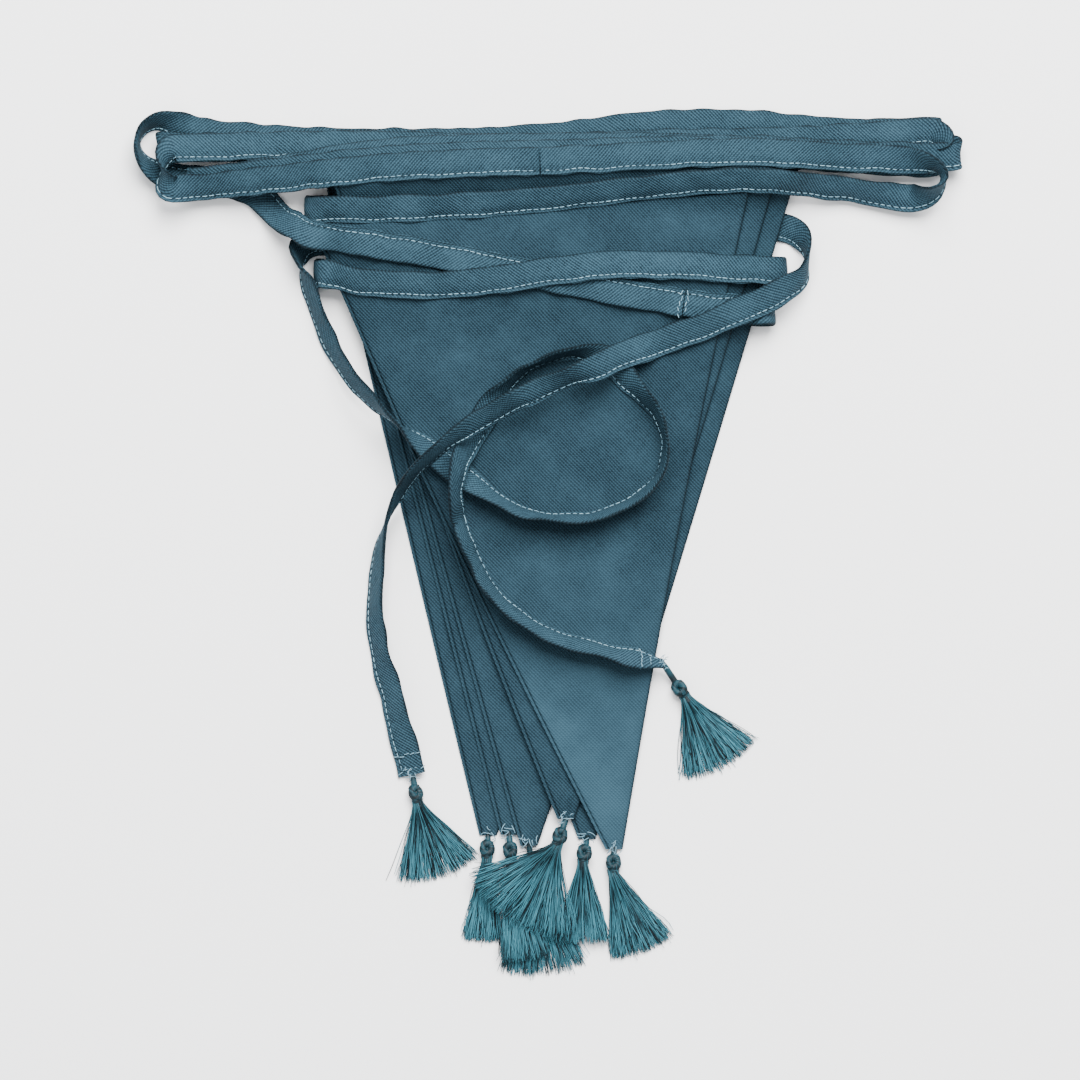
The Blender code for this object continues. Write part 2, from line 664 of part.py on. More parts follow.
def add_pennant(name: str, pennant: Pennant):
    """Make one pennant: a closed sheet draped over all that lies under it."""
    plan = pennant_points(pennant)
    rows, columns = plan.shape[:2]
    under = support(RUN_LEVELS[pennant.run], plan.reshape(-1, 2)).reshape(rows, columns)
    made = bmesh.new()
    sheets = []
    for lift in (0.0, CLOTH_THICK):
        sheets.append([
            [made.verts.new((*plan[row, column], under[row, column] + lift)) for column in range(columns)]
            for row in range(rows)
        ])
    for sheet in sheets:
        for row in range(rows - 1):
            for column in range(columns - 1):
                made.faces.new((
                    sheet[row][column],
                    sheet[row][column + 1],
                    sheet[row + 1][column + 1],
                    sheet[row + 1][column],
                ))
    join_rings(made, *(rim_of(sheet) for sheet in sheets))
    new_object(name, finish_mesh(name, made), "cloth")


def rim_of(grid: list) -> list:
    """The points round the rim of a grid of rows, in order."""
    right = [row[-1] for row in grid[1:]]
    left = [row[0] for row in grid[-2:0:-1]]
    return grid[0] + right + grid[-1][-2::-1] + left


def ring_shape() -> list[tuple[float, float]]:
    """The outline of the root grid as shares of its half width and half height, in order."""
    bottom = [(-1 + 2 * column / STRAND_COLUMNS, -1.0) for column in range(STRAND_COLUMNS)]
    side = [(1.0, -1 + 2 * row / STRAND_ROWS) for row in range(STRAND_ROWS)]
    return bottom + side + [(-u, -v) for u, v in bottom + side]


def fan_direction(degrees: float) -> np.ndarray:
    """A level direction, measured from -Y towards +X."""
    angle = math.radians(degrees)
    return np.array([math.sin(angle), -math.cos(angle), 0.0])


def neck_place(tassel: Tassel) -> np.ndarray:
    """The middle of the root grid from which a tassel's strands spread."""
    height = tassel.layer * FAN_LAYER + ROOT_HIGH / 2 + ROOT_CLEAR
    return np.array([tassel.neck_x, tassel.neck_y, height])


def add_head(made: bmesh.types.BMesh, tassel: Tassel, tip_z: float, axis_angle: float) -> list:
    """Add a tassel's head from its tie point to its neck, and return the neck's ring."""
    tip = np.array([tassel.tip_x, tassel.tip_y, tip_z])
    neck = neck_place(tassel)
    root_z = neck[2]
    plan = neck - tip
    start_angle = math.degrees(math.atan2(plan[0], -plan[1]))
    middle_z = max(HEAD_HIGH / 2, root_z)
    profile = (
        (0.06, 2.6, 1.2, tip_z),
        (0.20, 5.2, 3.4, (tip_z + middle_z) / 2 + 0.4),
        (0.48, HEAD_WIDE, HEAD_HIGH, middle_z),
        (0.80, 5.4, 3.2, (root_z + middle_z) / 2),
    )
    rings = []
    for share, wide, high, height in profile:
        angle = start_angle + (axis_angle - start_angle) * smooth(np.array(share))
        along = fan_direction(angle)
        side = np.array([-along[1], along[0], 0.0])
        centre = tip + plan * share
        ring = []
        level = max(height, high / 2)
        for u, v in ring_shape():
            across = u * math.sqrt(1 - v * v / 2) * wide / 2
            up = v * math.sqrt(1 - u * u / 2) * high / 2
            place = centre + side * across
            ring.append(made.verts.new((place[0], place[1], level + up)))
        rings.append(ring)
    made.faces.new(rings[0][::-1])
    for ring, following in zip(rings[:-1], rings[1:]):
        join_rings(made, ring, following)
    return rings[-1]


def join_rings(made: bmesh.types.BMesh, ring: list, following: list):
    """Bridge two rings of as many points."""
    for index in range(len(ring)):
        after = (index + 1) % len(ring)
        made.faces.new((ring[index], ring[after], following[after], following[index]))


def add_tassel(name: str, tassel: Tassel, tip_z: float, seed: int):
    """Make one tassel: a head, and strands that spread from its root grid and lie level."""
    random = np.random.default_rng(seed)
    made = bmesh.new()
    axis_angle = (tassel.low + tassel.high) / 2
    head = add_head(made, tassel, tip_z, axis_angle)
    along = fan_direction(axis_angle)
    side = np.array([-along[1], along[0], 0.0])
    neck = neck_place(tassel)
    grid = [
        [
            made.verts.new(
                neck
                + side * ROOT_WIDE * (column / STRAND_COLUMNS - 0.5)
                + np.array([0, 0, ROOT_HIGH * (row / STRAND_ROWS - 0.5)])
            )
            for column in range(STRAND_COLUMNS + 1)
        ]
        for row in range(STRAND_ROWS + 1)
    ]
    join_rings(made, head, rim_of(grid))
    for row in range(STRAND_ROWS):
        for column in range(STRAND_COLUMNS):
            corners = (
                grid[row][column],
                grid[row][column + 1],
                grid[row + 1][column + 1],
                grid[row + 1][column],
            )
            share = (column + 0.5 + 0.3 * (row - 0.5)) / STRAND_COLUMNS
            angle = tassel.low + (tassel.high - tassel.low) * share
            direction = fan_direction(angle)
            early = unit(along + direction)
            length = tassel.length * (1.0 - STRAND_UNEVEN * random.random())
            height = tassel.layer * FAN_LAYER + STRAND_THICK / 2 + row * (STRAND_THICK + PIECE_GAP)
            add_strand(made, corners, early * length, direction * length, height)
    new_object(name, finish_mesh(name, made), "floss")


def add_strand(made: bmesh.types.BMesh, corners: tuple, early: np.ndarray, late: np.ndarray, height: float):
    """Draw one strand out of its cell of the root grid, along its early and then its late direction."""
    root = np.mean([np.array(corner.co) for corner in corners], axis=0)
    middle = root + early * STRAND_LIES
    end = root + early * STRAND_SPREADS + late * (1.0 - STRAND_SPREADS)
    middle[2] = end[2] = height
    side = unit(np.array([-late[1], late[0], 0.0])) / 2
    up = np.array([0.0, 0.0, STRAND_THICK / 2])
    rings = [list(corners)]
    for place, wide in (
        (root, ROOT_WIDE / STRAND_COLUMNS * STRAND_NARROWED),
        (middle, STRAND_WIDE),
        (end, STRAND_WIDE * STRAND_TIP),
    ):
        across = side * wide
        offsets = (-across - up, across - up, across + up, -across + up)
        rings.append([made.verts.new(place + offset) for offset in offsets])
    for ring, following in zip(rings[:-1], rings[1:]):
        join_rings(made, ring, following)
    made.faces.new(rings[-1])


def tip_heights(line: np.ndarray) -> dict[str, float]:
    """The middle height of each tip that carries a tassel: the pennants' and the tape's two ends."""
    heights = {}
    for number, pennant in enumerate(PENNANTS.values(), 1):
        plan = np.array([(pennant.tip_x, pennant.tip_y)])
        under = support(RUN_LEVELS[pennant.run], plan)[0]
        heights[f"tassel_{number}"] = under + CLOTH_THICK / 2
    heights["tassel_7"], heights["tassel_8"] = line[0, 2], line[-1, 2]
    return heights


def main():
    """Clear the scene and build every piece."""
    for item in list(bpy.data.objects):
        bpy.data.objects.remove(item)
    for name, pennant in PENNANTS.items():
        add_pennant(name, pennant)
    line, across = tape_line()
    add_tapes(line, across)
    heights = tip_heights(line)
    for seed, (name, tassel) in enumerate(TASSELS.items()):
        add_tassel(name, tassel, heights[name], seed)


main()
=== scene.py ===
"""A folded fabric bunting: twill pennants, a stitched tape and silky tassels, laid on a pale floor.

All sizes are in millimetres, in the part's own frame: +X to the right, +Y towards the folded tape and
+Z up from the floor. They turn into metres where a mesh is made.
"""

import logging
import math
from dataclasses import dataclass, field, replace
from enum import Enum
from functools import partial
from typing import Callable, Iterable, NamedTuple, Union

import bpy
import numpy as np
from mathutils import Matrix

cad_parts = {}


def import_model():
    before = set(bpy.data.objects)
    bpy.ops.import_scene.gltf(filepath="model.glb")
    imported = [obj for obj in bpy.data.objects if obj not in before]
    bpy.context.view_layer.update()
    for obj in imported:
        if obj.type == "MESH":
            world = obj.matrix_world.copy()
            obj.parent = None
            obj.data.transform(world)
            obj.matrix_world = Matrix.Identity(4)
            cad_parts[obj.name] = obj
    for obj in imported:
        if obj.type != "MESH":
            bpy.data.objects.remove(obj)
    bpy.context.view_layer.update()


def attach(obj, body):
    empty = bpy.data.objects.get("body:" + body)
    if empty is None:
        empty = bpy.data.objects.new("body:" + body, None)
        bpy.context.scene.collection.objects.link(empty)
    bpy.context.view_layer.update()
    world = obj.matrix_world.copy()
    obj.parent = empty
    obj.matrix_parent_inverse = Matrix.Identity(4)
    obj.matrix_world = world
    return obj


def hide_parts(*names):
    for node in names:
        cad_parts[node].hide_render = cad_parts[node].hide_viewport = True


LOG = logging.getLogger("bunting")

MM = 0.001
TURN = 2.0 * math.pi
Array = np.ndarray
Colour = tuple[float, float, float, float]

# Painted shade for the seam's groove, the slit and the line along the plain edge.
PAINTED_SHADE_BLUE = (0.001, 0.003, 0.0045, 1.0)
DEEP_BLUE = (0.003, 0.0085, 0.013, 1.0)
TAPE_BLUE = (0.0265, 0.062, 0.086, 1.0)
FADED_TAPE = (0.034, 0.075, 0.102, 1.0)
PENNANT_BLUE = (0.0145, 0.0365, 0.052, 1.0)
# The pennants' patches of fading, and the painted light that lightens the top pennant towards its tip.
FADED_AND_LIT_PENNANT = (0.031, 0.072, 0.099, 1.0)

TAPE_WIDTH = 12.5
TAPE_THICK = 1.3
TAPE_PITCH = 2.2
TAPE_STEP = 10.0
CLOTH_THICK = 1.0
CLOTH_PITCH = 1.9
FADE = 24.0
TIE_FADE = 12.0
CROSSING_GAP = 2.0
PENNANT_TIP = 7.5
SEAM_GAP = 0.8
PIECE_GAP = 0.3
LEAST_STEP = 0.05
LEANING = 0.3
TURNED = -0.2
FAN_LAYER = 2.8

GROUND, FLOOR = -1, 0
RUN_LEVELS = {"E": 1, "G": 2, "F": 3, "C": 4, "M": 5, "N": 6, "A": 7, "B": 8}
FRONT_LOW, FRONT, FRONT_MID, FRONT_TOP = 9, 10, 11, 12

RUN_ORDER = ("B", "A", "C", "M", "N", "F", "G", "E")
FIRST_RUN_START = -95.0
LAST_RUN_END = -150.0
STATIONS = (-163, -110, -70, -30, 10, 50, 90, 130, 176)
RUNS = {
    "B": (144.6, 144.6, 144.8, 146.7, 150.0, 154.7, 157.5, 154.5, 148.3),
    "A": (153.6, 158.8, 162.8, 165.0, 166.3, 168.3, 169.8, 168.0, 165.8),
    "C": (171.6, 173.4, 173.4, 172.5, 172.5, 174.2, 174.7, 176.4, 179.5),
    "M": (155.4, 163.2, 169.8, 172.0, 172.5, 172.5, 170.7, 167.6, 165.0),
    "N": (156.5, 161.9, 166.3, 168.5, 169.4, 170.7, 171.2, 169.4, 168.0),
    "F": (172.0, 172.5, 172.0, 172.0, 172.5, 173.4, 174.2, 173.4, 171.6),
    "G": (173.0, 172.5, 174.7, 175.1, 177.8, 182.6, 183.0, 179.5, 179.0),
    "E": (180.8, 176.0, 174.7, 174.2, 174.7, 176.0, 176.9, 178.6, 180.0),
}


class Slot(Enum):
    """The record's material slots."""

    CLOTH = "cloth"
    TAPE = "tape"
    FLOSS = "floss"


class Fold(NamedTuple):
    """Where one run turns back into the next: its outermost X, how far it reaches, lean and lift."""

    first: str
    second: str
    apex_x: float
    reach: float
    lean: float
    lift: float


FOLDS = (
    Fold("B", "A", 176.5, 14.0, 66.0, 6.5),
    Fold("A", "C", -165.5, 5.0, 20.0, 0.5),
    Fold("C", "M", 178.0, 7.0, 20.0, 0.0),
    Fold("M", "N", -154.0, 1.6, 0.0, 0.0),
    Fold("N", "F", 184.0, 4.0, 0.0, 0.0),
    Fold("F", "G", -167.0, 1.6, 0.0, 0.0),
    Fold("G", "E", 175.0, 1.6, 0.0, 0.0),
)


class Row(NamedTuple):
    """One row of a loose tape: its place, how it leans, and the layer it rests on or its height."""

    x: float
    y: float
    lean: float
    layer: int
    height: float = -1.0


# From the header's first run back to the first tassel. A height is the middle's, above the surface.
FIRST_TIE = (
    Row(-99.6, 144.6, 0, FLOOR, 13.5),
    Row(-102.6, 144.8, 0, FLOOR, 8.0),
    Row(-99.6, 145.2, 0, FLOOR, 1.6),
    Row(-90, 145.6, 0, FLOOR),
    Row(0, 142.0, 0, FLOOR),
    Row(95, 138.5, 0, FLOOR),
    Row(109, 137.2, 0, FLOOR, 0.9),
    Row(115.5, 131.5, 50, FLOOR, 5.6),
    Row(117.4, 123.5, 86, FLOOR, 8.4),
    Row(115.0, 115.5, 122, FLOOR, 11.0),
    Row(107.0, 109.5, 160, FLOOR, 14.8),
    Row(98.6, 105.3, 168, FLOOR, 16.0),
    Row(90, 101.4, 172, FRONT_TOP),
    Row(67.3, 91.9, 174, FRONT_TOP),
    Row(42.2, 83.1, 170, FRONT_TOP),
    Row(23.3, 75.2, 160, FRONT_TOP),
    Row(0, 66, 146, FRONT_TOP),
    Row(-24.2, 53.7, 136, FRONT_TOP),
    Row(-34.4, 47.1, 126, FLOOR, 31.0),
    Row(-44, 40, 116, FLOOR, 30.8),
    Row(-55, 29.5, 108, FLOOR, 23.0),
    Row(-61.6, 20.2, 104, FRONT_TOP),
    Row(-67.3, 8.2, 93, FRONT_TOP),
    Row(-70, -2, 70, FRONT_TOP),
    Row(-71.7, -14, 60, FRONT_TOP),
    Row(-72.6, -33, 55, FRONT_TOP),
    Row(-70.4, -49.3, 44, FRONT_TOP),
    Row(-66.4, -64.2, 38, FRONT_TOP),
    Row(-62.5, -79.2, 28, FRONT_TOP),
    Row(-58.1, -96.2, 15, FRONT_TOP),
    Row(-56.4, -103.2, 8, FRONT_TOP),
)

# From the header's last run, round the stack twice and over the front to the second tassel.
SECOND_TIE = (
    Row(-158, 182.2, 162, FLOOR, 2.6),
    Row(-167, 184.0, 128, FLOOR, 5.7),
    Row(-173.6, 181.2, 108, FLOOR, 6.5),
    Row(-176.9, 174.6, 100, FLOOR, 6.7),
    Row(-175.0, 167.8, 108, FLOOR, 6.5),
    Row(-169.4, 162.4, 136, FLOOR, 4.9),
    Row(-162, 159.8, 168, FLOOR, 1.6),
    Row(-150, 158.2, 180, FLOOR),
    Row(-134, 155.8, 180, FLOOR),
    Row(-123.5, 151.0, 172, FLOOR),
    Row(-116.0, 143.6, 165, FLOOR, 3.6),
    Row(-108.5, 138.2, 170, FLOOR, 12.6),
    Row(-101.0, 134.2, 174, FLOOR, 17.0),
    Row(-91, 132.4, 178, FRONT),
    Row(-79, 130.4, 180, FRONT),
    Row(-47.5, 125.3, 180, FRONT),
    Row(-2.6, 116.2, 180, FRONT),
    Row(27.7, 110, 180, FRONT),
    Row(63, 103.8, 180, FRONT),
    Row(80, 101.8, 180, FRONT),
    Row(91, 100.9, 180, FRONT),
    Row(98.5, 100.6, 180, FLOOR, 12.8),
    Row(102.4, 100.4, 180, FLOOR, 6.6),
    Row(98.5, 100.2, 180, FLOOR, 0.9),
    Row(60, 101.5, 180, FLOOR),
    Row(-40, 112, 180, FLOOR),
    Row(-94, 117.0, 180, FLOOR, 0.9),
    Row(-98.5, 117.2, 180, FLOOR, 6.6),
    Row(-95, 116.6, 180, FLOOR, 14.0),
    Row(-88, 115.2, 180, FRONT_MID),
    Row(-79, 113.2, 180, FRONT_MID),
    Row(-53.2, 111.5, 180, FRONT_MID),
    Row(-30.8, 112.6, 180, FRONT_MID),
    Row(-2.6, 116.4, 180, FRONT_MID),
    Row(16.7, 119.2, 180, FRONT_MID),
    Row(33.4, 120.6, 180, FRONT_MID),
    Row(59, 120.3, 180, FRONT_MID),
    Row(84, 119, 180, FRONT_MID),
    Row(96.5, 118.4, 180, FRONT_MID),
    Row(104.0, 118.2, 180, FLOOR, 10.8),
    Row(107.9, 118.2, 180, FLOOR, 5.6),
    Row(104.0, 118.2, 180, FLOOR, 0.9),
    Row(60, 121.5, 180, FLOOR),
    Row(-60, 130, 180, FLOOR),
    Row(-92, 131.2, 180, FLOOR),
    Row(-100.5, 130.8, 176, FLOOR, 0.9),
    Row(-105.4, 127.6, 150, FLOOR, 3.8),
    Row(-105.6, 121.6, 105, FLOOR, 6.6),
    Row(-103.0, 115, 66, GROUND),
    Row(-98.4, 101.5, 57, GROUND),
    Row(-92.4, 87, 56, GROUND),
    Row(-83.5, 71.7, 60, FRONT_LOW),
    Row(-71, 58.5, 68, FRONT_LOW),
    Row(-62, 50.5, 90, FRONT_LOW),
    Row(-53.5, 43.2, 128, FRONT_LOW),
    Row(-45, 36.5, 154, FRONT_LOW),
    Row(-36, 29.8, 158, FRONT_LOW),
    Row(-28.5, 24.2, 142, FRONT_LOW),
    Row(-21, 19.2, 122, FRONT_LOW),
    Row(-9, 12.6, 112, FRONT_LOW),
    Row(7, 9.8, 110, FRONT_LOW),
    Row(22, 10, 110, FRONT_LOW),
    Row(34.3, 14.1, 110, FRONT_LOW),
    Row(43.6, 19.6, 108, FRONT_LOW),
    Row(52, 28, 106, FRONT_LOW),
    Row(55, 40.5, 104, FRONT_LOW),
    Row(53.5, 49, 106, FRONT_LOW),
    Row(50.2, 57.2, 108, FRONT_LOW),
    Row(43.6, 64.7, 128, FRONT_LOW),
    Row(36.5, 72.8, 154, FRONT_LOW),
    Row(29, 79.2, 156, FRONT_LOW),
    Row(20.5, 82.0, 134, FRONT_LOW),
    Row(14, 82.2, 112, FRONT_LOW),
    Row(6, 80.4, 103, FRONT_LOW),
    Row(-6, 75.0, 103, FRONT_LOW),
    Row(-14.5, 68, 118, FRONT_LOW),
    Row(-20.5, 60.2, 150, FRONT_LOW),
    Row(-26, 51.5, 156, FRONT_LOW),
    Row(-31, 43, 142, FRONT_LOW),
    Row(-34.8, 34, 126, FRONT),
    Row(-37.0, 22, 118, FRONT),
    Row(-35.2, 8.8, 117, FRONT),
    Row(-28.6, -8.8, 118, FRONT_LOW),
    Row(-22, -21.1, 118, FRONT_LOW),
    Row(-13.2, -30.4, 118, FRONT_LOW),
    Row(-1.8, -38.3, 120, FRONT_LOW),
    Row(10.1, -44, 120, FRONT_LOW),
    Row(23, -47.1, 122, FRONT_LOW),
    Row(36.5, -50.6, 128, FRONT_LOW),
    Row(48.4, -53.2, 145, FRONT_LOW),
    Row(54.0, -54.2, 160, FRONT_LOW),
)


class PennantCut(NamedTuple):
    """One pennant: the run it is sewn in, its top corners, tip, and how its sides bow outwards."""

    run: str
    left_x: float
    right_x: float
    tip_x: float
    tip_y: float
    bow_left: float
    bow_right: float

    def sides(self, share: Array) -> tuple[Array, Array]:
        """The X of its left and right side at each share of the way from its top to its tip."""
        bulge = np.sin(math.pi * share)
        left = self.left_x + (self.tip_x - PENNANT_TIP / 2 - self.left_x) * share
        right = self.right_x + (self.tip_x + PENNANT_TIP / 2 - self.right_x) * share
        return left - self.bow_left * bulge, right + self.bow_right * bulge

    def top(self, x: Array) -> Array:
        """The Y of its top edge, just below the tape that holds it."""
        return np.interp(x, STATIONS, RUNS[self.run]) - TAPE_WIDTH / 2 - SEAM_GAP

    def lift(self, points: Array) -> Array:
        """How far it lifts what lies over it, fading to nothing well outside it."""
        top = self.top(points[:, 0])
        share = np.clip((top - points[:, 1]) / (top - self.tip_y), 0.0, 1.0)
        left, right = self.sides(share)
        across = np.maximum(left - points[:, 0], points[:, 0] - right)
        along = np.maximum(points[:, 1] - top, self.tip_y - points[:, 1])
        outside = np.hypot(np.maximum(across, 0.0), np.maximum(along, 0.0))
        return CLOTH_PITCH * smooth(1.0 - outside / FADE)


PENNANTS = {
    "pennant_1": PennantCut("B", -100.5, 91.5, 32.6, -136.0, 3.6, -2.2),
    "pennant_2": PennantCut("A", -90.0, 105.0, 11.4, -122.6, 4.6, 2.6),
    "pennant_3": PennantCut("N", -88.0, 114.0, 20.6, -131.6, 1.0, 0.5),
    "pennant_4": PennantCut("M", -91.0, 101.0, -4.8, -134.4, 0.5, 0.0),
    "pennant_5": PennantCut("C", -94.0, 98.0, -13.6, -129.6, 0.0, 0.0),
    "pennant_6": PennantCut("F", -96.5, 101.0, -22.9, -130.0, 0.5, 0.0),
}


class TasselPlace(NamedTuple):
    """One tassel: where its head meets the tip, its neck, fan layer, spread from -Y, and length."""

    tip_x: float
    tip_y: float
    neck_x: float
    neck_y: float
    layer: int
    low: float
    high: float
    length: float


TASSELS = {
    "tassel_1": TasselPlace(32.6, -136.0, 32.2, -146.6, 0, 1.0, 41.0, 38.0),
    "tassel_2": TasselPlace(11.4, -122.6, 7.2, -134.4, 2, -72.0, 8.0, 40.0),
    "tassel_3": TasselPlace(20.6, -131.6, 18.7, -142.2, 1, -16.0, 17.0, 36.0),
    "tassel_4": TasselPlace(-4.8, -134.4, -3.2, -146.4, 0, -17.0, 30.0, 46.0),
    "tassel_5": TasselPlace(-13.6, -129.6, -12.6, -141.0, 1, -4.0, 20.0, 45.0),
    "tassel_6": TasselPlace(-22.9, -130.0, -23.4, -140.4, 0, -14.0, 8.0, 37.0),
    "tassel_7": TasselPlace(-56.2, -102.9, -53.7, -115.8, 0, -12.0, 46.0, 35.0),
    "tassel_8": TasselPlace(54.1, -54.3, 64.0, -69.2, 0, 0.0, 56.0, 36.0),
}


class Crease(NamedTuple):
    """One soft ridge of a pennant, or a trough where its height is negative."""

    pennant: str
    start_x: float
    start_y: float
    end_x: float
    end_y: float
    width: float
    height: float


CREASES = (
    Crease("pennant_1", -40.0, 90.0, 10.0, -40.0, 26.0, 1.1),
    Crease("pennant_1", 38.0, 70.0, 30.0, -100.0, 16.0, 0.9),
    Crease("pennant_1", 60.0, 118.0, 70.0, 20.0, 12.0, -0.3),
    Crease("pennant_2", 20.0, -20.0, 10.0, -118.0, 6.0, 1.0),
    Crease("pennant_2", 10.8, -112.5, 11.2, -122.0, 2.8, 2.0),
    Crease("pennant_1", -60.0, 20.0, 10.0, -118.0, 9.0, 0.6),
)

# The second tie's row from which, on its way under the stack to the next row, the tape turns over.
TURN_OVER_ROW = 24

# The tape's three lengths are joined in run A and where the second tie crosses the front.
HEADER_JOIN_X = -2.2
HEADER_JOIN_NEAR = 0.6
TIE_JOIN_X = 69.0
TIE_JOIN_Y = 104.0
JOIN_NEAR_Y = 4.0

# Rows of stitches across each length: how far in from an end, and whether from its last end.
SEAM_ROWS = (
    ((2.0, False), (9.0, False)),
    ((1.6, True),),
    ((1.4, False), (6.0, True), (11.0, True)),
)
TASSEL_PINCH = 15.0

# Where the points lie across a sheet: in millimetres from a pennant's edge, and as shares of the way
# from the tape's middle to its edge.
CLOTH_COLUMNS_NEAR_EDGE = (0.0, 0.12, 0.4, 0.8, 1.2, 1.5, 1.8, 2.3, 3.5)
TAPE_HALF_SECTION = (0.15, 0.4, 0.56, 0.63, 0.68, 0.73, 0.8, 0.88, 0.94, 0.975, 0.993, 1.0)

# The five points of an edge stitch: where along it they are, how far they arch and how thick they are.
STITCH_SHARES = (0.0, 0.12, 0.5, 0.88, 1.0)
STITCH_ARCH = (-0.18, 0.1, 0.2, 0.1, -0.18)
STITCH_SWELL = (0.55, 0.95, 1.0, 0.95, 0.55)

# The angles of the points that round off a fold of the tape.
FOLD_DEGREES = (-62, -36, -12, 12, 36, 62)

# The radii of a knot's core, at shares of the way from the pennant's tip to the neck.
CORE_SHARES = (0.0, 0.2, 0.6, 1.0)
CORE_RADII = (0.9, 1.4, 1.5, 2.4)


def smooth(value: Array) -> Array:
    """Ease from 0 to 1 over the range 0 to 1."""
    held = np.clip(value, 0.0, 1.0)
    return held * held * (3.0 - 2.0 * held)


def unit(vectors: Array) -> Array:
    """Each vector scaled to length 1."""
    return vectors / np.maximum(np.linalg.norm(vectors, axis=-1, keepdims=True), 1e-9)


def ripple(places: Array, wavelength: float, seed: int, waves: int = 7) -> Array:
    """Smooth unevenness over places, made of plane waves that run in all directions.

    Args:
        places: One row for each place, in any number of dimensions.
        wavelength: The mean distance from one crest to the next.
        seed: Which unevenness of its kind it is.
        waves: How many plane waves it is made of.

    Returns:
        A height for each place, mostly from -1 to 1.
    """
    random = np.random.default_rng(seed)
    headings = unit(random.normal(size=(waves, places.shape[1])))
    lengths = wavelength * random.uniform(0.7, 1.6, waves)
    phases = random.uniform(0.0, TURN, waves)
    turns = places @ headings.T * (TURN / lengths) + phases
    return np.sin(turns).sum(axis=1) * math.sqrt(1.0 / waves)


def run_y(run: str, x: Array) -> Array:
    """The middle line's Y of a header run at each X."""
    return np.interp(x, STATIONS, RUNS[run])


def nearest_on_path(points: Array, path: Array) -> tuple[Array, Array]:
    """The plan distance from each point to the edge of a path, and how thick the path lies there.

    Args:
        points: Plan points.
        path: Rows of X, Y, thickness and half width.

    Returns:
        The distances, which are negative inside, and the thicknesses.
    """
    best = np.full(len(points), 1e9)
    height = np.zeros(len(points))
    for start, end in zip(path[:-1], path[1:]):
        along = end[:2] - start[:2]
        share = np.clip((points - start[:2]) @ along / (along @ along), 0.0, 1.0)
        offset = points - start[:2] - share[:, None] * along
        distance = np.hypot(offset[:, 0], offset[:, 1]) - (start[3] + (end[3] - start[3]) * share)
        height = np.where(distance < best, start[2] + (end[2] - start[2]) * share, height)
        best = np.minimum(best, distance)
    return best, height


def two_ripples(
    places: Array, wavelengths: tuple[float, float], first_share: float, seeds: tuple[int, int]
) -> Array:
    """A long and a short unevenness over places, blended.

    Args:
        places: One row for each place.
        wavelengths: The long and the short wavelength.
        first_share: How much of the whole the long one is.
        seeds: Which unevenness of its kind each one is.

    Returns:
        A height for each place, mostly from -1 to 1.
    """
    long, short = (ripple(places, length, seed) for length, seed in zip(wavelengths, seeds))
    return long * first_share + short * (1.0 - first_share)


def ridge(offset: Array, half_width: float) -> Array:
    """A soft ridge of height 1 that falls off over a half width."""
    return np.exp(-((offset / half_width) ** 2))


def lift_of_tape(path: Array, fade: float, points: Array) -> Array:
    """How far a tape lifts what lies over it, fading to nothing outside it."""
    distance, height = nearest_on_path(points, path)
    return height * smooth(1.0 - distance / fade)


def path_row(row: Row) -> tuple[float, float, float, float]:
    """A tie row's place, how thick the tape lies there, and half of the width that it covers."""
    lean = math.radians(row.lean)
    thick = TAPE_PITCH + (TAPE_WIDTH + CROSSING_GAP) * abs(math.sin(lean))
    return row.x, row.y, thick, TAPE_WIDTH / 2 * abs(math.cos(lean))


def lies_on(row: Row) -> float:
    """The layer of a tie row, or none for one that is held clear of what is under it."""
    return row.layer if row.height < TAPE_PITCH else math.inf


def resting_stretches(rows: tuple[Row, ...]) -> list[tuple[int, Array]]:
    """Each stretch of a tie that lies on one layer, with its lower neighbours' rows.

    Args:
        rows: The tie's rows.

    Returns:
        For each stretch its layer and its plan path.
    """
    found = []
    start = 0
    for index in range(1, len(rows) + 1):
        if index < len(rows) and lies_on(rows[index]) == lies_on(rows[start]):
            continue
        layer = lies_on(rows[start])
        first = start - 1 if start and lies_on(rows[start - 1]) < layer else start
        last = index + 1 if index < len(rows) and lies_on(rows[index]) < layer else index
        if layer not in (GROUND, math.inf) and last > first + 1:
            found.append((layer, np.array([path_row(row) for row in rows[first:last]])))
        start = index
    return found


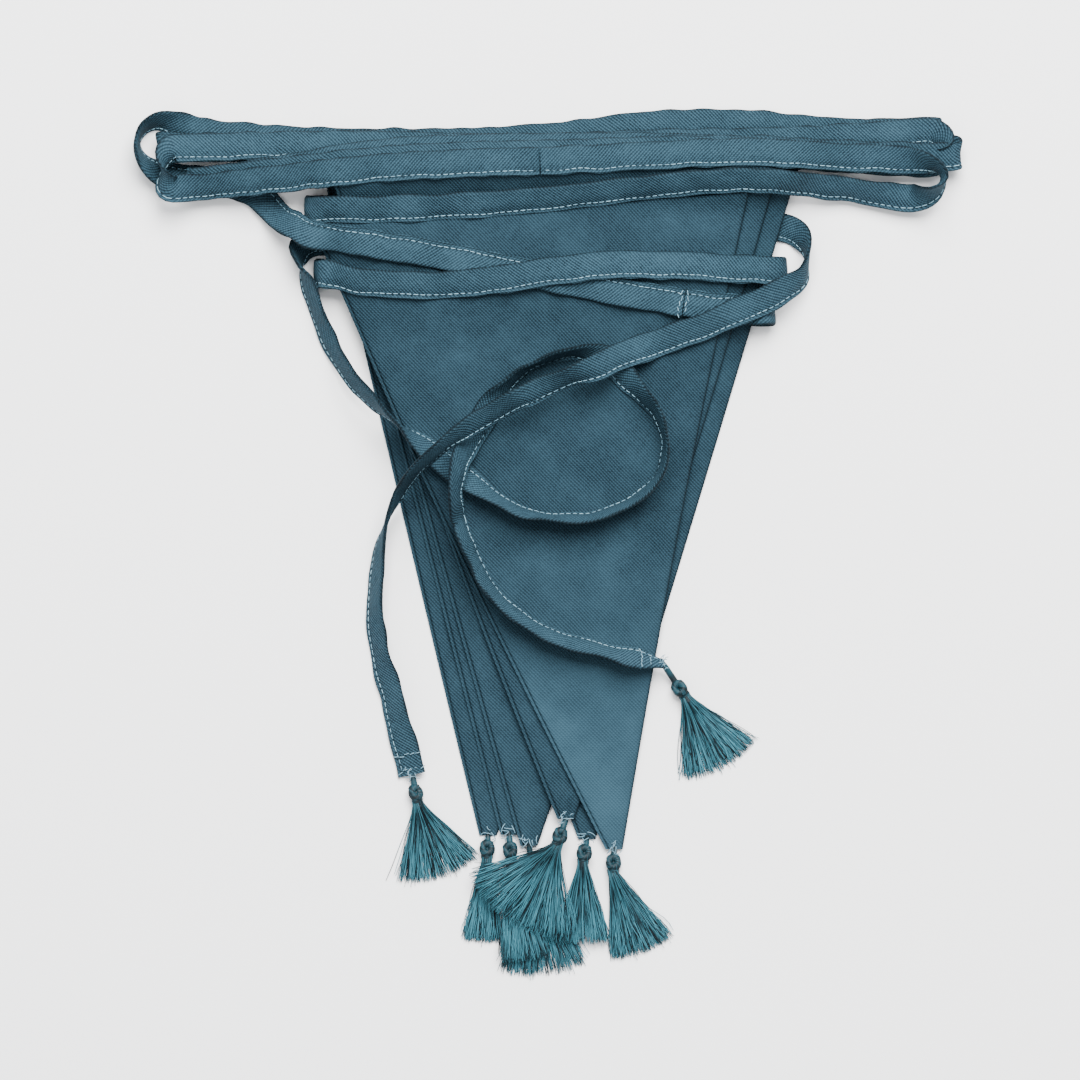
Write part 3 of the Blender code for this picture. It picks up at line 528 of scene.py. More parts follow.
class Layers:
    """The stack's layers, from which the height under any plan point follows."""

    def __init__(self) -> None:
        """Gather the header's runs, the pennants and the ties' resting stretches."""
        self.stack: list[tuple[int, Callable[[Array], Array]]] = []
        self.upper: list[tuple[int, Callable[[Array], Array]]] = []
        for run, level in RUN_LEVELS.items():
            start = FIRST_RUN_START if run == RUN_ORDER[0] else STATIONS[0]
            stations = (start, *(station for station in STATIONS if station > start))
            path = np.array([(x, run_y(run, x), TAPE_PITCH, TAPE_WIDTH / 2) for x in stations])
            self.stack.append((level, partial(lift_of_tape, path, FADE)))
        for cut in PENNANTS.values():
            self.stack.append((RUN_LEVELS[cut.run], cut.lift))
        for rows in (FIRST_TIE, SECOND_TIE):
            for level, path in resting_stretches(rows):
                flat = level in (FLOOR, FRONT_MID)
                lift = partial(lift_of_tape, path, FADE if level == FLOOR else TIE_FADE)
                (self.stack if flat else self.upper).append((level, lift))

    def support(self, level: int, points: Array) -> Array:
        """The height on which something of a level lies at each plan point.

        Args:
            level: The level in the stack.
            points: Plan points.

        Returns:
            The heights.
        """
        height = np.zeros(len(points))
        for below, lift in self.stack:
            if below < level:
                height += lift(points)
        upper = [lift(points) for below, lift in self.upper if below < level]
        return height + np.max(upper, axis=0) if upper else height

    def settle(self, places: Array, widths: Array, levels: Array) -> Array:
        """The middle's height where a tape row rests on the layers below it.

        Args:
            places: The rows' middles.
            widths: The rows' width directions.
            levels: The rows' levels.

        Returns:
            The heights.
        """
        flat = widths[:, :2] * TAPE_WIDTH / 2
        heights = np.zeros(len(places))
        for level in np.unique(levels):
            chosen = levels == level
            plan = places[chosen, :2]
            middle = self.support(level, plan)
            left = self.support(level, plan - flat[chosen])
            right = self.support(level, plan + flat[chosen])
            leaning = np.abs(widths[chosen, 2]) > LEANING
            sides = np.where(leaning, np.maximum(left, right), (left + right) / 2)
            heights[chosen] = np.maximum(middle, sides)
        lean = np.abs(widths[:, 2])
        upright = np.sqrt(np.clip(1.0 - lean * lean, 0.0, 1.0))
        return heights + TAPE_WIDTH / 2 * lean + TAPE_THICK / 2 * upright

    def tilt(self, middle: Array, width: Array, low: int, high: int, share: Array) -> Array:
        """How far a resting tape tips to follow what lies under its two edges.

        Args:
            middle: The rows' middles.
            width: The rows' width directions.
            low: The level at the stretch's start.
            high: The level at its end.
            share: How far along the stretch each row is.

        Returns:
            What to add to each width direction.
        """
        flat = width[:, :2] * TAPE_WIDTH / 2
        rise = np.zeros(len(middle))
        for level, weight in ((low, 1.0 - share), (high, share)):
            right = self.support(level, middle[:, :2] + flat)
            left = self.support(level, middle[:, :2] - flat)
            rise += weight * (right - left) / TAPE_WIDTH
        lying = np.clip(1.0 - np.abs(width[:, 2]) * 1.5, 0.0, 1.0)
        return np.column_stack((np.zeros((len(middle), 2)), rise * lying))


def curve_between(values: Array, times: Array, index: int, at: Array) -> Array:
    """A smooth curve through rows of values, read between one row and the next.

    Args:
        values: The rows.
        times: Where along the curve each row is.
        index: The row before the stretch that is read.
        at: Where it is read.

    Returns:
        One row for each place that is read.
    """
    last = len(values) - 1
    before, after = max(index - 1, 0), min(index + 2, last)
    span = times[index + 1] - times[index]
    start_slope = (values[index + 1] - values[before]) / (times[index + 1] - times[before])
    end_slope = (values[after] - values[index]) / (times[after] - times[index])
    t = ((at - times[index]) / span)[:, None]
    return (
        values[index] * (2 * t**3 - 3 * t**2 + 1)
        + values[index + 1] * (3 * t**2 - 2 * t**3)
        + start_slope * span * (t**3 - 2 * t**2 + t)
        + end_slope * span * (t**3 - t**2)
    )


def lean_vectors(plan: Array, leans: Array) -> Array:
    """The width directions of tape rows: across the path when flat, upright at a lean of 90."""
    heading = unit(np.gradient(plan, axis=0))
    across = np.column_stack((-heading[:, 1], heading[:, 0]))
    angle = np.radians(leans)
    return np.column_stack((across * np.cos(angle)[:, None], np.sin(angle)))


class Rows:
    """Control rows of the tape: places, width directions, levels, and whether each one rests."""

    def __init__(self) -> None:
        """Start with no rows."""
        self.places: list[tuple[float, float, float]] = []
        self.widths: list[tuple[float, float, float]] = []
        self.levels: list[int] = []
        self.rests: list[bool] = []

    def add(self, place: Iterable[float], width: Iterable[float], level: int, rests: bool) -> None:
        """Add one row at the end."""
        self.places.append(tuple(place))
        self.widths.append(tuple(width))
        self.levels.append(level)
        self.rests.append(rests)

    def add_tie(self, rows: tuple[Row, ...], backwards: bool) -> None:
        """Add a tie's rows.

        Args:
            rows: The tie's rows from the header outwards.
            backwards: Whether the tape goes through them from the tie's end.
        """
        plan = np.array([(row.x, row.y) for row in rows])
        widths = lean_vectors(plan, np.array([row.lean for row in rows]))
        for index in reversed(range(len(rows))) if backwards else range(len(rows)):
            row = rows[index]
            width = widths[index]
            if row.height >= 0 and row.lean in (0, 180):
                width = (0.0, 1.0 if row.lean == 0 else -1.0, 0.0)
            self.add((row.x, row.y, max(row.height, 0.0)), width, row.layer, row.height < 0)

    def add_header(self, layers: Layers) -> None:
        """Add the header's runs, each one turning back into the next.

        Args:
            layers: The stack, which sets the folds' heights.
        """
        for index, run in enumerate(RUN_ORDER):
            rightward = index % 2 == 0
            enter = FOLDS[index - 1] if index else None
            leave = FOLDS[index] if index < len(FOLDS) else None
            inset = 1.0 if rightward else -1.0
            first = enter.apex_x + inset * enter.reach if enter else FIRST_RUN_START
            last = leave.apex_x - inset * leave.reach if leave else LAST_RUN_END
            low, high = min(first, last) + TAPE_STEP, max(first, last) - TAPE_STEP
            stations = [first, *(x for x in STATIONS if low < x < high), last]
            for x in sorted(stations, reverse=not rightward):
                self.add((x, float(run_y(run, x)), 0.0), (0.0, 1.0, 0.0), RUN_LEVELS[run], True)
            if leave:
                self.add_fold(leave, last, layers)

    def add_fold(self, fold: Fold, start_x: float, layers: Layers) -> None:
        """Add the rows of one fold, which turns round from its first run into its second.

        Args:
            fold: The fold.
            start_x: Where its runs end.
            layers: The stack, which sets its ends' heights.
        """
        ends = []
        for run in (fold.first, fold.second):
            y = float(run_y(run, start_x))
            level = np.array([RUN_LEVELS[run]])
            height = layers.settle(np.array([(start_x, y, 0.0)]), np.array([(0.0, 1.0, 0.0)]), level)
            ends.append((y, float(height[0])))
        (first_y, first_z), (second_y, second_z) = ends
        outward = 1.0 if fold.apex_x > 0 else -1.0
        for degrees in FOLD_DEGREES:
            angle = math.radians(degrees)
            share = (1.0 + math.sin(angle)) / 2.0
            bulge = min(1.0, 1.5 * math.cos(angle))
            lean = math.radians(fold.lean) * bulge
            place = (
                start_x + outward * fold.reach * math.cos(angle),
                first_y + (second_y - first_y) * share,
                first_z + (second_z - first_z) * share + fold.lift * bulge,
            )
            level = RUN_LEVELS[fold.second if share > 0.5 else fold.first]
            self.add(place, (0.0, math.cos(lean), math.sin(lean)), level, False)


@dataclass
class TapeRoute:
    """The whole tape's line, from the first tie's end through the header to the second tie's.

    The sewn side is 1 where the width direction points from the stitched to the folded edge, and -1
    where it points back to the stitched one.
    """

    layers: Layers
    line: Array = field(init=False)
    across: Array = field(init=False)
    sewn: Array = field(init=False)

    def __post_init__(self) -> None:
        """Read the line off its control rows."""
        rows = Rows()
        rows.add_tie(FIRST_TIE, backwards=True)
        rows.add_header(self.layers)
        rows.add_tie(SECOND_TIE, backwards=False)
        places = np.array(rows.places)
        levels = np.array(rows.levels)
        rests = np.array(rows.rests)
        widths = self.consistent(np.array(rows.widths))
        turn_over = len(places) - len(SECOND_TIE) + TURN_OVER_ROW
        sides = np.where(np.arange(len(places)) <= turn_over, 1.0, -1.0)
        places[:, 2] = np.where(rests, self.layers.settle(places, widths, levels), places[:, 2])
        steps = np.linalg.norm(np.diff(places, axis=0), axis=1)
        times = np.concatenate(([0.0], np.cumsum(np.maximum(steps, LEAST_STEP))))
        line, across, sewn = [], [], []
        for index in range(len(places) - 1):
            count = max(1, round(steps[index] / TAPE_STEP))
            at = times[index] + (times[index + 1] - times[index]) * np.arange(count) / count
            middle = curve_between(places, times, index, at)
            width = unit(curve_between(widths, times, index, at))
            if rests[index] and rests[index + 1]:
                low, high = levels[index], levels[index + 1]
                share = smooth(np.arange(count) / count)
                on_low = self.layers.settle(middle, width, np.full(count, low))
                on_high = self.layers.settle(middle, width, np.full(count, high))
                middle[:, 2] = on_low + (on_high - on_low) * share
                width = unit(width + self.layers.tilt(middle, width, low, high, share))
            line.append(middle)
            across.append(width)
            sewn.append(sides[index] + (sides[index + 1] - sides[index]) * np.arange(count) / count)
        self.line = np.concatenate([*line, places[-1:]])
        self.across = np.concatenate([*across, widths[-1:]])
        self.sewn = np.concatenate([*sewn, sides[-1:]])

    @staticmethod
    def consistent(widths: Array) -> Array:
        """Width directions turned so that none points against the one before it."""
        turned = widths.copy()
        for index in range(1, len(turned)):
            if turned[index] @ turned[index - 1] < TURNED:
                turned[index] = -turned[index]
        return turned

    def lengths(self) -> list[tuple[Array, Array, Array]]:
        """The three lengths, each one its middle line, width directions and sewn sides."""
        line = self.line
        passes_header = (line[:-1, 0] > HEADER_JOIN_X) & (line[1:, 0] <= HEADER_JOIN_X)
        near_run = np.abs(line[:-1, 1] - run_y("A", line[:-1, 0])) < HEADER_JOIN_NEAR
        passes_tie = (line[:-1, 0] < TIE_JOIN_X) & (line[1:, 0] >= TIE_JOIN_X)
        near_tie = np.abs(line[:-1, 1] - TIE_JOIN_Y) < JOIN_NEAR_Y
        header = int(np.flatnonzero(passes_header & near_run)[0])
        tie = int(np.flatnonzero(passes_tie & near_tie)[0])
        found = []
        for start, end in ((0, header), (header, tie), (tie, len(line) - 1)):
            stretch = line[start:end + 1].copy()
            if start:
                stretch[0] += unit(stretch[1] - stretch[0]) * PIECE_GAP / 2
            if end < len(line) - 1:
                stretch[-1] -= unit(stretch[-1] - stretch[-2]) * PIECE_GAP / 2
            found.append((stretch, self.across[start:end + 1], self.sewn[start:end + 1]))
        return found


class Value:
    """One output of a shader graph, which takes part in sums like a number."""

    def __init__(self, graph: "Graph", socket: bpy.types.NodeSocket) -> None:
        """Keep the output and the graph that it is in."""
        self.graph = graph
        self.socket = socket

    def __add__(self, other: "Term") -> "Value":
        """This plus another term."""
        return self.graph.sum("ADD", self, other)

    def __radd__(self, other: "Term") -> "Value":
        """Another term plus this."""
        return self.graph.sum("ADD", other, self)

    def __sub__(self, other: "Term") -> "Value":
        """This minus another term."""
        return self.graph.sum("SUBTRACT", self, other)

    def __rsub__(self, other: "Term") -> "Value":
        """Another term minus this."""
        return self.graph.sum("SUBTRACT", other, self)

    def __mul__(self, other: "Term") -> "Value":
        """This times another term."""
        return self.graph.sum("MULTIPLY", self, other)

    def __rmul__(self, other: "Term") -> "Value":
        """Another term times this."""
        return self.graph.sum("MULTIPLY", other, self)

    def __truediv__(self, other: "Term") -> "Value":
        """This divided by another term."""
        return self.graph.sum("DIVIDE", self, other)

    def __rtruediv__(self, other: "Term") -> "Value":
        """Another term divided by this."""
        return self.graph.sum("DIVIDE", other, self)

    def wave(self) -> "Value":
        """Its sine, moved into the range 0 to 1."""
        return self.graph.sum("SINE", self) * 0.5 + 0.5

    def held(self) -> "Value":
        """This, held between 0 and 1."""
        return self.graph.sum("MINIMUM", self.graph.sum("MAXIMUM", self, 0.0), 1.0)

    def bell(self, middle: float, half_width: float) -> "Value":
        """A bump of height 1 round one value, which falls off over a half width."""
        offset = (self - middle) / half_width
        return 1.0 / (offset * offset + 1.0)


Term = Union[Value, float]


class Graph:
    """One material's shader graph."""

    def __init__(self, name: str) -> None:
        """Make the material with its Principled shader.

        Args:
            name: The material's name.
        """
        self.material = bpy.data.materials.new(name)
        self.material.use_nodes = True
        self.tree = self.material.node_tree
        self.shader = self.tree.nodes["Principled BSDF"]

    def node(
        self, kind: str, settings: dict[str, object], inputs: dict[Union[str, int], object]
    ) -> bpy.types.Node:
        """Add any node.

        Args:
            kind: The node's type.
            settings: Its own settings, which are set first.
            inputs: What goes into its sockets: plain values or values of this graph.

        Returns:
            The node.
        """
        made = self.tree.nodes.new(kind)
        for name, setting in settings.items():
            setattr(made, name, setting)
        for name, value in inputs.items():
            self.feed(made.inputs[name], value)
        return made

    def feed(self, socket: bpy.types.NodeSocket, value: object) -> None:
        """Put a plain value or a value of this graph into a socket."""
        if isinstance(value, Value):
            self.tree.links.new(value.socket, socket)
        else:
            socket.default_value = value

    def sum(self, operation: str, *terms: Term) -> Value:
        """A Math node of one operation over its terms."""
        made = self.node("ShaderNodeMath", {"operation": operation}, dict(enumerate(terms)))
        return Value(self, made.outputs[0])

    def vector(self, operation: str, *terms: object) -> Value:
        """A Vector Math node of one operation over its terms."""
        made = self.node("ShaderNodeVectorMath", {"operation": operation}, dict(enumerate(terms)))
        return Value(self, made.outputs[0])

    def blend(self, share: Term, first: object, second: object) -> Value:
        """A colour between two others.

        Args:
            share: How much of the second one there is.
            first: The first colour.
            second: The second colour.

        Returns:
            The blended colour.
        """
        made = self.node("ShaderNodeMix", {"data_type": "RGBA"}, {"Factor": share, 6: first, 7: second})
        return Value(self, made.outputs[2])

    def noise(self, place: Value, scale: float, detail: float = 2.0) -> Value:
        """Smooth noise from about 0 to 1 at a place."""
        inputs = {"Vector": place, "Scale": scale, "Detail": detail, "Roughness": 0.55}
        return Value(self, self.node("ShaderNodeTexNoise", {}, inputs).outputs[0])

    def uv(self) -> tuple[Value, Value, Value]:
        """The weave coordinates as a vector and as along and across, in millimetres."""
        place = Value(self, self.node("ShaderNodeUVMap", {"uv_map": "weave"}, {}).outputs[0])
        parts = self.node("ShaderNodeSeparateXYZ", {}, {0: place})
        return place, Value(self, parts.outputs[0]), Value(self, parts.outputs[1])

    def edge(self) -> tuple[Value, Value]:
        """The distances from the seamed edge and from the plain one, in millimetres."""
        place = self.node("ShaderNodeUVMap", {"uv_map": "edge"}, {}).outputs[0]
        parts = self.node("ShaderNodeSeparateXYZ", {}, {0: Value(self, place)})
        return Value(self, parts.outputs[0]), Value(self, parts.outputs[1])

    def dress(
        self, colour: Union[Value, Colour], roughness: Term, height: Value, plain: dict[str, object]
    ) -> bpy.types.Material:
        """Feed the shader.

        Args:
            colour: The base colour.
            roughness: The roughness.
            height: The relief, in millimetres.
            plain: Constant values for the shader's other sockets.

        Returns:
            The material.
        """
        bump = self.node("ShaderNodeBump", {}, {"Strength": 1.0, "Distance": MM, "Height": height})
        self.feed(self.shader.inputs["Base Color"], colour)
        self.feed(self.shader.inputs["Roughness"], roughness)
        self.feed(self.shader.inputs["Normal"], Value(self, bump.outputs[0]))
        for name, value in plain.items():
            self.feed(self.shader.inputs[name], value)
        return self.material


@dataclass(frozen=True)
class Twill:
    """Cotton twill: slanting ribs, uneven yarns, a seam or stitched line, and patches of fading.

    Painted shade darkens the seam's groove, a slit by the seamed edge and a line along the plain edge,
    and painted light lightens a pennant's cloth towards its tip, leaving it darker in the header's shade.
    The seam, its width, the slit, the rim and the edge shade are in millimetres from an edge. The shares
    say how strongly each thing shows, from 0 to 1.
    """

    name: str
    light: Colour
    faded_and_lit: Colour
    seam: float
    seam_width: float
    stitch_share: float
    pucker: float
    slit_share: float
    edge_shade_share: float
    painted_light_from: float = 0.0
    painted_light_share: float = 0.0
    painted_light_length: float = 110.0
    painted_shade: Colour = PAINTED_SHADE_BLUE
    deep: Colour = DEEP_BLUE
    rib: float = 1.15
    rib_wander: float = 9.0
    relief: float = 0.2
    yarn_relief: float = 0.1
    broad_relief: float = 0.8
    stitch_pitch: float = 2.9
    slit_at: float = 0.3
    slit_width: float = 0.14
    edge_shade_width: float = 0.55
    pucker_width: float = 2.6
    patch_share: float = 0.35
    roughness: float = 0.82

    def weave(self, graph: Graph) -> Value:
        """The twill's ribs, broken up by the threads that cross them.

        Args:
            graph: The material's graph.

        Returns:
            How high the weave stands, from 0 to 1.
        """
        place, along, across = graph.uv()
        turns = TURN / self.rib / math.sqrt(2.0)
        ribs = ((along + across) * turns + graph.noise(place, 0.05, 1.0) * self.rib_wander).wave()
        steps = ((along - across) * turns).wave()
        return ribs * (steps * 0.6 + 0.4)

    def build(self) -> bpy.types.Material:
        """Make the material.

        Returns:
            The material.
        """
        graph = Graph(self.name)
        place, along, across = graph.uv()
        weave = self.weave(graph)
        warp = graph.noise(graph.vector("MULTIPLY", place, (0.35, 2.6, 1.0)), 0.7, 3.0)
        weft = graph.noise(graph.vector("MULTIPLY", place, (2.6, 0.35, 1.0)), 0.7, 3.0)
        yarns = warp + weft
        patches = graph.noise(place, 0.045, 3.0)
        tone = (weave * 1.25 + yarns - 0.88).held()
        colour = graph.blend(tone, self.deep, self.light)
        colour = graph.blend(((patches - 0.42) * 2.0).held() * self.patch_share, colour, self.faded_and_lit)
        # Painted light: the cloth lightens towards the pennants' tips and stays darker up under the header,
        # in its shade.
        painted_light = ((self.painted_light_from - across) / self.painted_light_length).held() * self.painted_light_share
        colour = graph.blend(painted_light * (patches * 0.8 + 0.5), colour, self.faded_and_lit)
        edge, plain_edge = graph.edge()
        groove = edge.bell(self.seam, self.seam_width)
        holes = (along * (TURN / self.stitch_pitch)).wave() * self.stitch_share
        slit = edge.bell(self.slit_at, self.slit_width) * self.slit_share
        rim = (self.seam - 0.4 - edge).held()
        # Painted shade darkens the seam's groove, broken up at the stitch pitch on a stitched line.
        colour = graph.blend((groove * (0.15 + patches * 0.9 - holes * 0.4)).held(), colour, self.painted_shade)
        # Painted shadow: a line of shade along the plain edge, where the sheet meets what lies under it.
        colour = graph.blend(plain_edge.bell(0.0, self.edge_shade_width) * self.edge_shade_share, colour, self.painted_shade)
        colour = graph.blend(rim * 0.25, colour, self.faded_and_lit)
        # Painted shade in the slit between the two layers near the seamed edge.
        colour = graph.blend(slit, colour, self.painted_shade)
        pucker = graph.noise(graph.vector("MULTIPLY", place, (0.42, 0.12, 1.0)), 1.0, 2.0)
        near = edge.bell(self.seam, self.pucker_width) * self.pucker
        height = weave * self.relief + yarns * self.yarn_relief + patches * self.broad_relief
        height = height - groove * (0.4 - holes * 0.25) - slit * 0.3 + pucker * near
        sheen = {"Sheen Weight": 0.02, "Sheen Tint": self.faded_and_lit, "Specular IOR Level": 0.07}
        return graph.dress(colour, self.roughness - weave * 0.08, height, sheen)


@dataclass(frozen=True)
class Floss:
    """Silky thread: a gleam along each strand, and strands of slightly different shades."""

    name: str
    deep: Colour
    light: Colour
    roughness: float = 0.45
    sheen: float = 0.02
    shaded_length: float = 26.0

    def build(self) -> bpy.types.Material:
        """Make the material.

        Returns:
            The material.
        """
        graph = Graph(self.name)
        place, strand, along = graph.uv()
        shade = graph.noise(graph.vector("MULTIPLY", place, (7.3, 0.05, 1.0)), 1.0, 0.0)
        plies = ((along * 2.2 + strand * 5.0) * TURN).wave()
        # Painted shade: each strand is darker towards its start, where a skirt crowds at the neck, reaching
        # full tone a shaded length along.
        lit = (along / self.shaded_length).held() * 0.5 + 0.5
        tone = ((shade - 0.43) * 4.6 + plies * 0.3).held() * lit
        colour = graph.blend(tone, self.deep, self.light)
        plain = {"Sheen Weight": self.sheen, "Sheen Tint": self.light, "Specular IOR Level": 0.2}
        return graph.dress(colour, self.roughness + plies * 0.1, plies * 0.03, plain)


@dataclass(frozen=True)
class Plaster:
    """The pale floor, plain but for the faintest unevenness."""

    name: str
    colour: Colour
    roughness: float = 0.9

    def build(self) -> bpy.types.Material:
        """Make the material.

        Returns:
            The material.
        """
        graph = Graph(self.name)
        place = Value(graph, graph.node("ShaderNodeTexCoord", {}, {}).outputs["Object"])
        height = graph.noise(place, 20.0) * 0.02
        return graph.dress(self.colour, self.roughness, height, {"Specular IOR Level": 0.1})


def make_piece(
    name: str,
    points: Array,
    faces: Array,
    weave: Array,
    finish: bpy.types.Material,
    edge: Union[Array, None] = None,
) -> bpy.types.Object:
    """Make one smooth mesh piece.

    Args:
        name: The piece's name.
        points: Its points, in millimetres.
        faces: Its faces, as rows of point numbers.
        weave: The weave coordinates of each point.
        finish: Its material.
        edge: Each point's distances from the seamed and the plain edge, for a sheet.

    Returns:
        The piece, linked to the scene.
    """
    mesh = bpy.data.meshes.new(name)
    mesh.from_pydata((points * MM).tolist(), [], faces.tolist())
    corners = np.empty(len(mesh.loops), dtype=np.int32)
    mesh.loops.foreach_get("vertex_index", corners)
    maps = {"weave": weave}
    if edge is not None:
        maps["edge"] = edge
    for title, places in maps.items():
        layer = mesh.uv_layers.new(name=title)
        layer.data.foreach_set("uv", places[corners].astype(np.float32).ravel())
    mesh.materials.append(finish)
    mesh.shade_smooth()
    mesh.validate()
    piece = bpy.data.objects.new(name, mesh)
    bpy.context.scene.collection.objects.link(piece)
    return piece


def hold(piece: bpy.types.Object, node: str, slot: Slot) -> bpy.types.Object:
    """Let a piece ride on the part and stand for one of its solids."""
    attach(piece, "root")
    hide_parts(node)
    return piece


def ring_faces(rings: int, sides: int) -> Array:
    """The quads that join rings of points, each ring closed.

    Args:
        rings: How many rings there are.
        sides: How many points a ring has.

    Returns:
        The faces.
    """
    ring, side = np.meshgrid(np.arange(rings - 1), np.arange(sides), indexing="ij")
    after = (side + 1) % sides
    near, far = ring * sides, (ring + 1) * sides
    return np.stack((near + side, near + after, far + after, far + side), axis=-1).reshape(-1, 4)


def tubes(paths: Array, radii: Array, sides: int) -> tuple[Array, Array]:
    """Round tubes along many paths of as many points, with pinched ends.

    Args:
        paths: The paths, as tubes by points by three.
        radii: The radius at each point of each tube.
        sides: How many sides a tube has.

    Returns:
        The points and the faces.
    """
    count, length = paths.shape[:2]
    heading = unit(np.gradient(paths, axis=1))
    side = np.cross(heading, np.array([0.0, 0.0, 1.0]))
    flat = np.linalg.norm(side, axis=-1, keepdims=True) < 0.05
    side = unit(np.where(flat, np.cross(heading, np.array([0.0, 1.0, 0.0])), side))
    up = np.cross(side, heading)
    angles = np.arange(sides) * TURN / sides + 0.4
    out = side[:, :, None] * np.cos(angles)[:, None] + up[:, :, None] * np.sin(angles)[:, None]
    points = (paths[:, :, None] + out * radii[:, :, None, None]).reshape(-1, 3)
    faces = ring_faces(length, sides)
    offsets = np.arange(count) * length * sides
    return points, (faces[None] + offsets[:, None, None]).reshape(-1, 4)


def joined(groups: list[tuple[Array, Array]]) -> tuple[Array, Array]:
    """Several meshes as one, with no point below the floor.

    Args:
        groups: The points and faces of each mesh.

    Returns:
        The points and the faces.
    """
    offset = 0
    points, faces = [], []
    for made, corners in groups:
        points.append(made)
        faces.append(corners + offset)
        offset += len(made)
    all_points = np.concatenate(points)
    all_points[:, 2] = np.maximum(all_points[:, 2], 0.0)
    return all_points, np.concatenate(faces)


@dataclass
class Pennant:
    """One pennant: a double sheet of twill with a seam along its sides, draped over what is under it."""

    name: str
    cut: PennantCut
    finish: bpy.types.Material
    rows: int = 130
    row_crowding: float = 1.15
    columns: int = 44
    tuck: float = 1.6
    seam: float = 1.5
    groove_depth: float = 0.35
    groove_width: float = 0.35
    edge_rounding: float = 0.8
    own_wave: float = 0.2
    own_lengths: tuple[float, float] = (34.0, 15.0)
    own_fade: float = 12.0
    shared_wave: float = 0.6
    shared_lengths: tuple[float, float] = (40.0, 22.0)
    shared_fade: float = 8.0
    flat: tuple[float, float] = (0.205, 0.305)
    crease_end: float = 0.4
    seed: int = 0

    def columns_across(self, width: Array) -> Array:
        """How far across each row's points are, crowded at the seams.

        Args:
            width: Each row's width.

        Returns:
            The distances from the left side, as rows by columns.
        """
        near = np.array(CLOTH_COLUMNS_NEAR_EDGE)
        near = near[None] * np.minimum(width[:, None] / (2.4 * near[-1]), 1.0)
        inner = (np.arange(1, self.columns) / self.columns)[None]
        between = near[:, -1:] + (width[:, None] - 2.0 * near[:, -1:]) * inner
        return np.concatenate((near, between, width[:, None] - near[:, ::-1]), axis=1)

    def waves(self, plan: Array, edge: Array) -> Array:
        """How far the sheet stands off what it lies on: its own waves, the stack's, and its creases.

        Args:
            plan: The sheet's plan points.
            edge: How far each one is from the sheet's edge.

        Returns:
            The heights.
        """
        own = two_ripples(plan, self.own_lengths, 0.6, (self.seed, self.seed + 50))
        shared = two_ripples(plan, self.shared_lengths, 0.7, (900, 901))
        own_height = own * self.own_wave * smooth(edge / self.own_fade)
        shared_height = shared * self.shared_wave * smooth(edge / self.shared_fade)
        return own_height + self.creases(plan) + shared_height

    def build(self, layers: Layers) -> bpy.types.Object:
        """Make the sheet.

        Args:
            layers: The stack that it is draped over.

        Returns:
            The piece.
        """
        share = np.linspace(0.0, 1.0, self.rows) ** self.row_crowding
        left, right = self.cut.sides(share)
        width = right - left
        across = self.columns_across(width)
        x = left[:, None] + across
        top = self.cut.top(x[0]) + self.tuck
        y = top + (self.cut.tip_y - top) * share[:, None]
        plan = np.stack((x, y), axis=-1).reshape(-1, 2)
        from_right = width[:, None] - across
        from_tip = (1.0 - share[:, None]) * (top - self.cut.tip_y)
        edge = np.minimum(np.minimum(across, from_right), from_tip).ravel()
        half = CLOTH_THICK / 2 * np.sqrt(np.clip(edge / self.edge_rounding, 0.02, 1.0))
        groove = self.groove_depth * ridge(across.ravel() - self.seam, self.groove_width)
        wave = self.waves(plan, edge)
        middle = layers.support(RUN_LEVELS[self.cut.run], plan) + CLOTH_THICK / 2
        upper = np.column_stack((plan, middle + half - groove + wave))
        lower = np.column_stack((plan, np.maximum(middle - half + np.maximum(wave, 0.0), 0.0)))
        points = np.concatenate((upper, lower))
        faces = self.sheet_faces(*across.shape)
        edges = np.column_stack((across.ravel(), from_right.ravel()))
        weave, edges = np.tile(plan, (2, 1)), np.tile(edges, (2, 1))
        piece = make_piece(self.name + "_cloth", points, faces, weave, self.finish, edges)
        hold(piece, self.name, Slot.CLOTH)
        area = float(np.sum(np.gradient(y[:, 0]) * (left - right))) * MM * MM
        return piece

    def creases(self, plan: Array) -> Array:
        """The soft ridges and troughs of this pennant.

        Args:
            plan: The sheet's plan points.

        Returns:
            How far each point is raised.
        """
        raised = np.zeros(len(plan))
        for crease in CREASES:
            if crease.pennant == self.name:
                path = np.array([
                    (crease.start_x, crease.start_y, crease.height, 0.0),
                    (crease.end_x, crease.end_y, crease.height * self.crease_end, 0.0),
                ])
                distance, height = nearest_on_path(plan, path)
                raised += height * ridge(distance, crease.width)
        return raised

    @staticmethod
    def sheet_faces(rows: int, columns: int) -> Array:
        """The quads of a sheet's upper and lower grid of points, and of the band that joins their rims.

        Args:
            rows: How many rows a grid has.
            columns: How many columns it has.

        Returns:
            The faces.
        """
        row, column = np.meshgrid(np.arange(rows - 1), np.arange(columns - 1), indexing="ij")
        first = (row * columns + column).ravel()
        grid = np.column_stack((first, first + columns, first + columns + 1, first + 1))
        rim = np.concatenate((
            np.arange(columns),
            np.arange(1, rows) * columns + columns - 1,
            (rows - 1) * columns + np.arange(columns - 2, -1, -1),
            np.arange(rows - 2, 0, -1) * columns,
        ))
        size = rows * columns
        band = np.column_stack((rim, np.roll(rim, -1), np.roll(rim, -1) + size, rim + size))
        return np.concatenate((grid, grid[:, ::-1] + size, band[:, ::-1]))


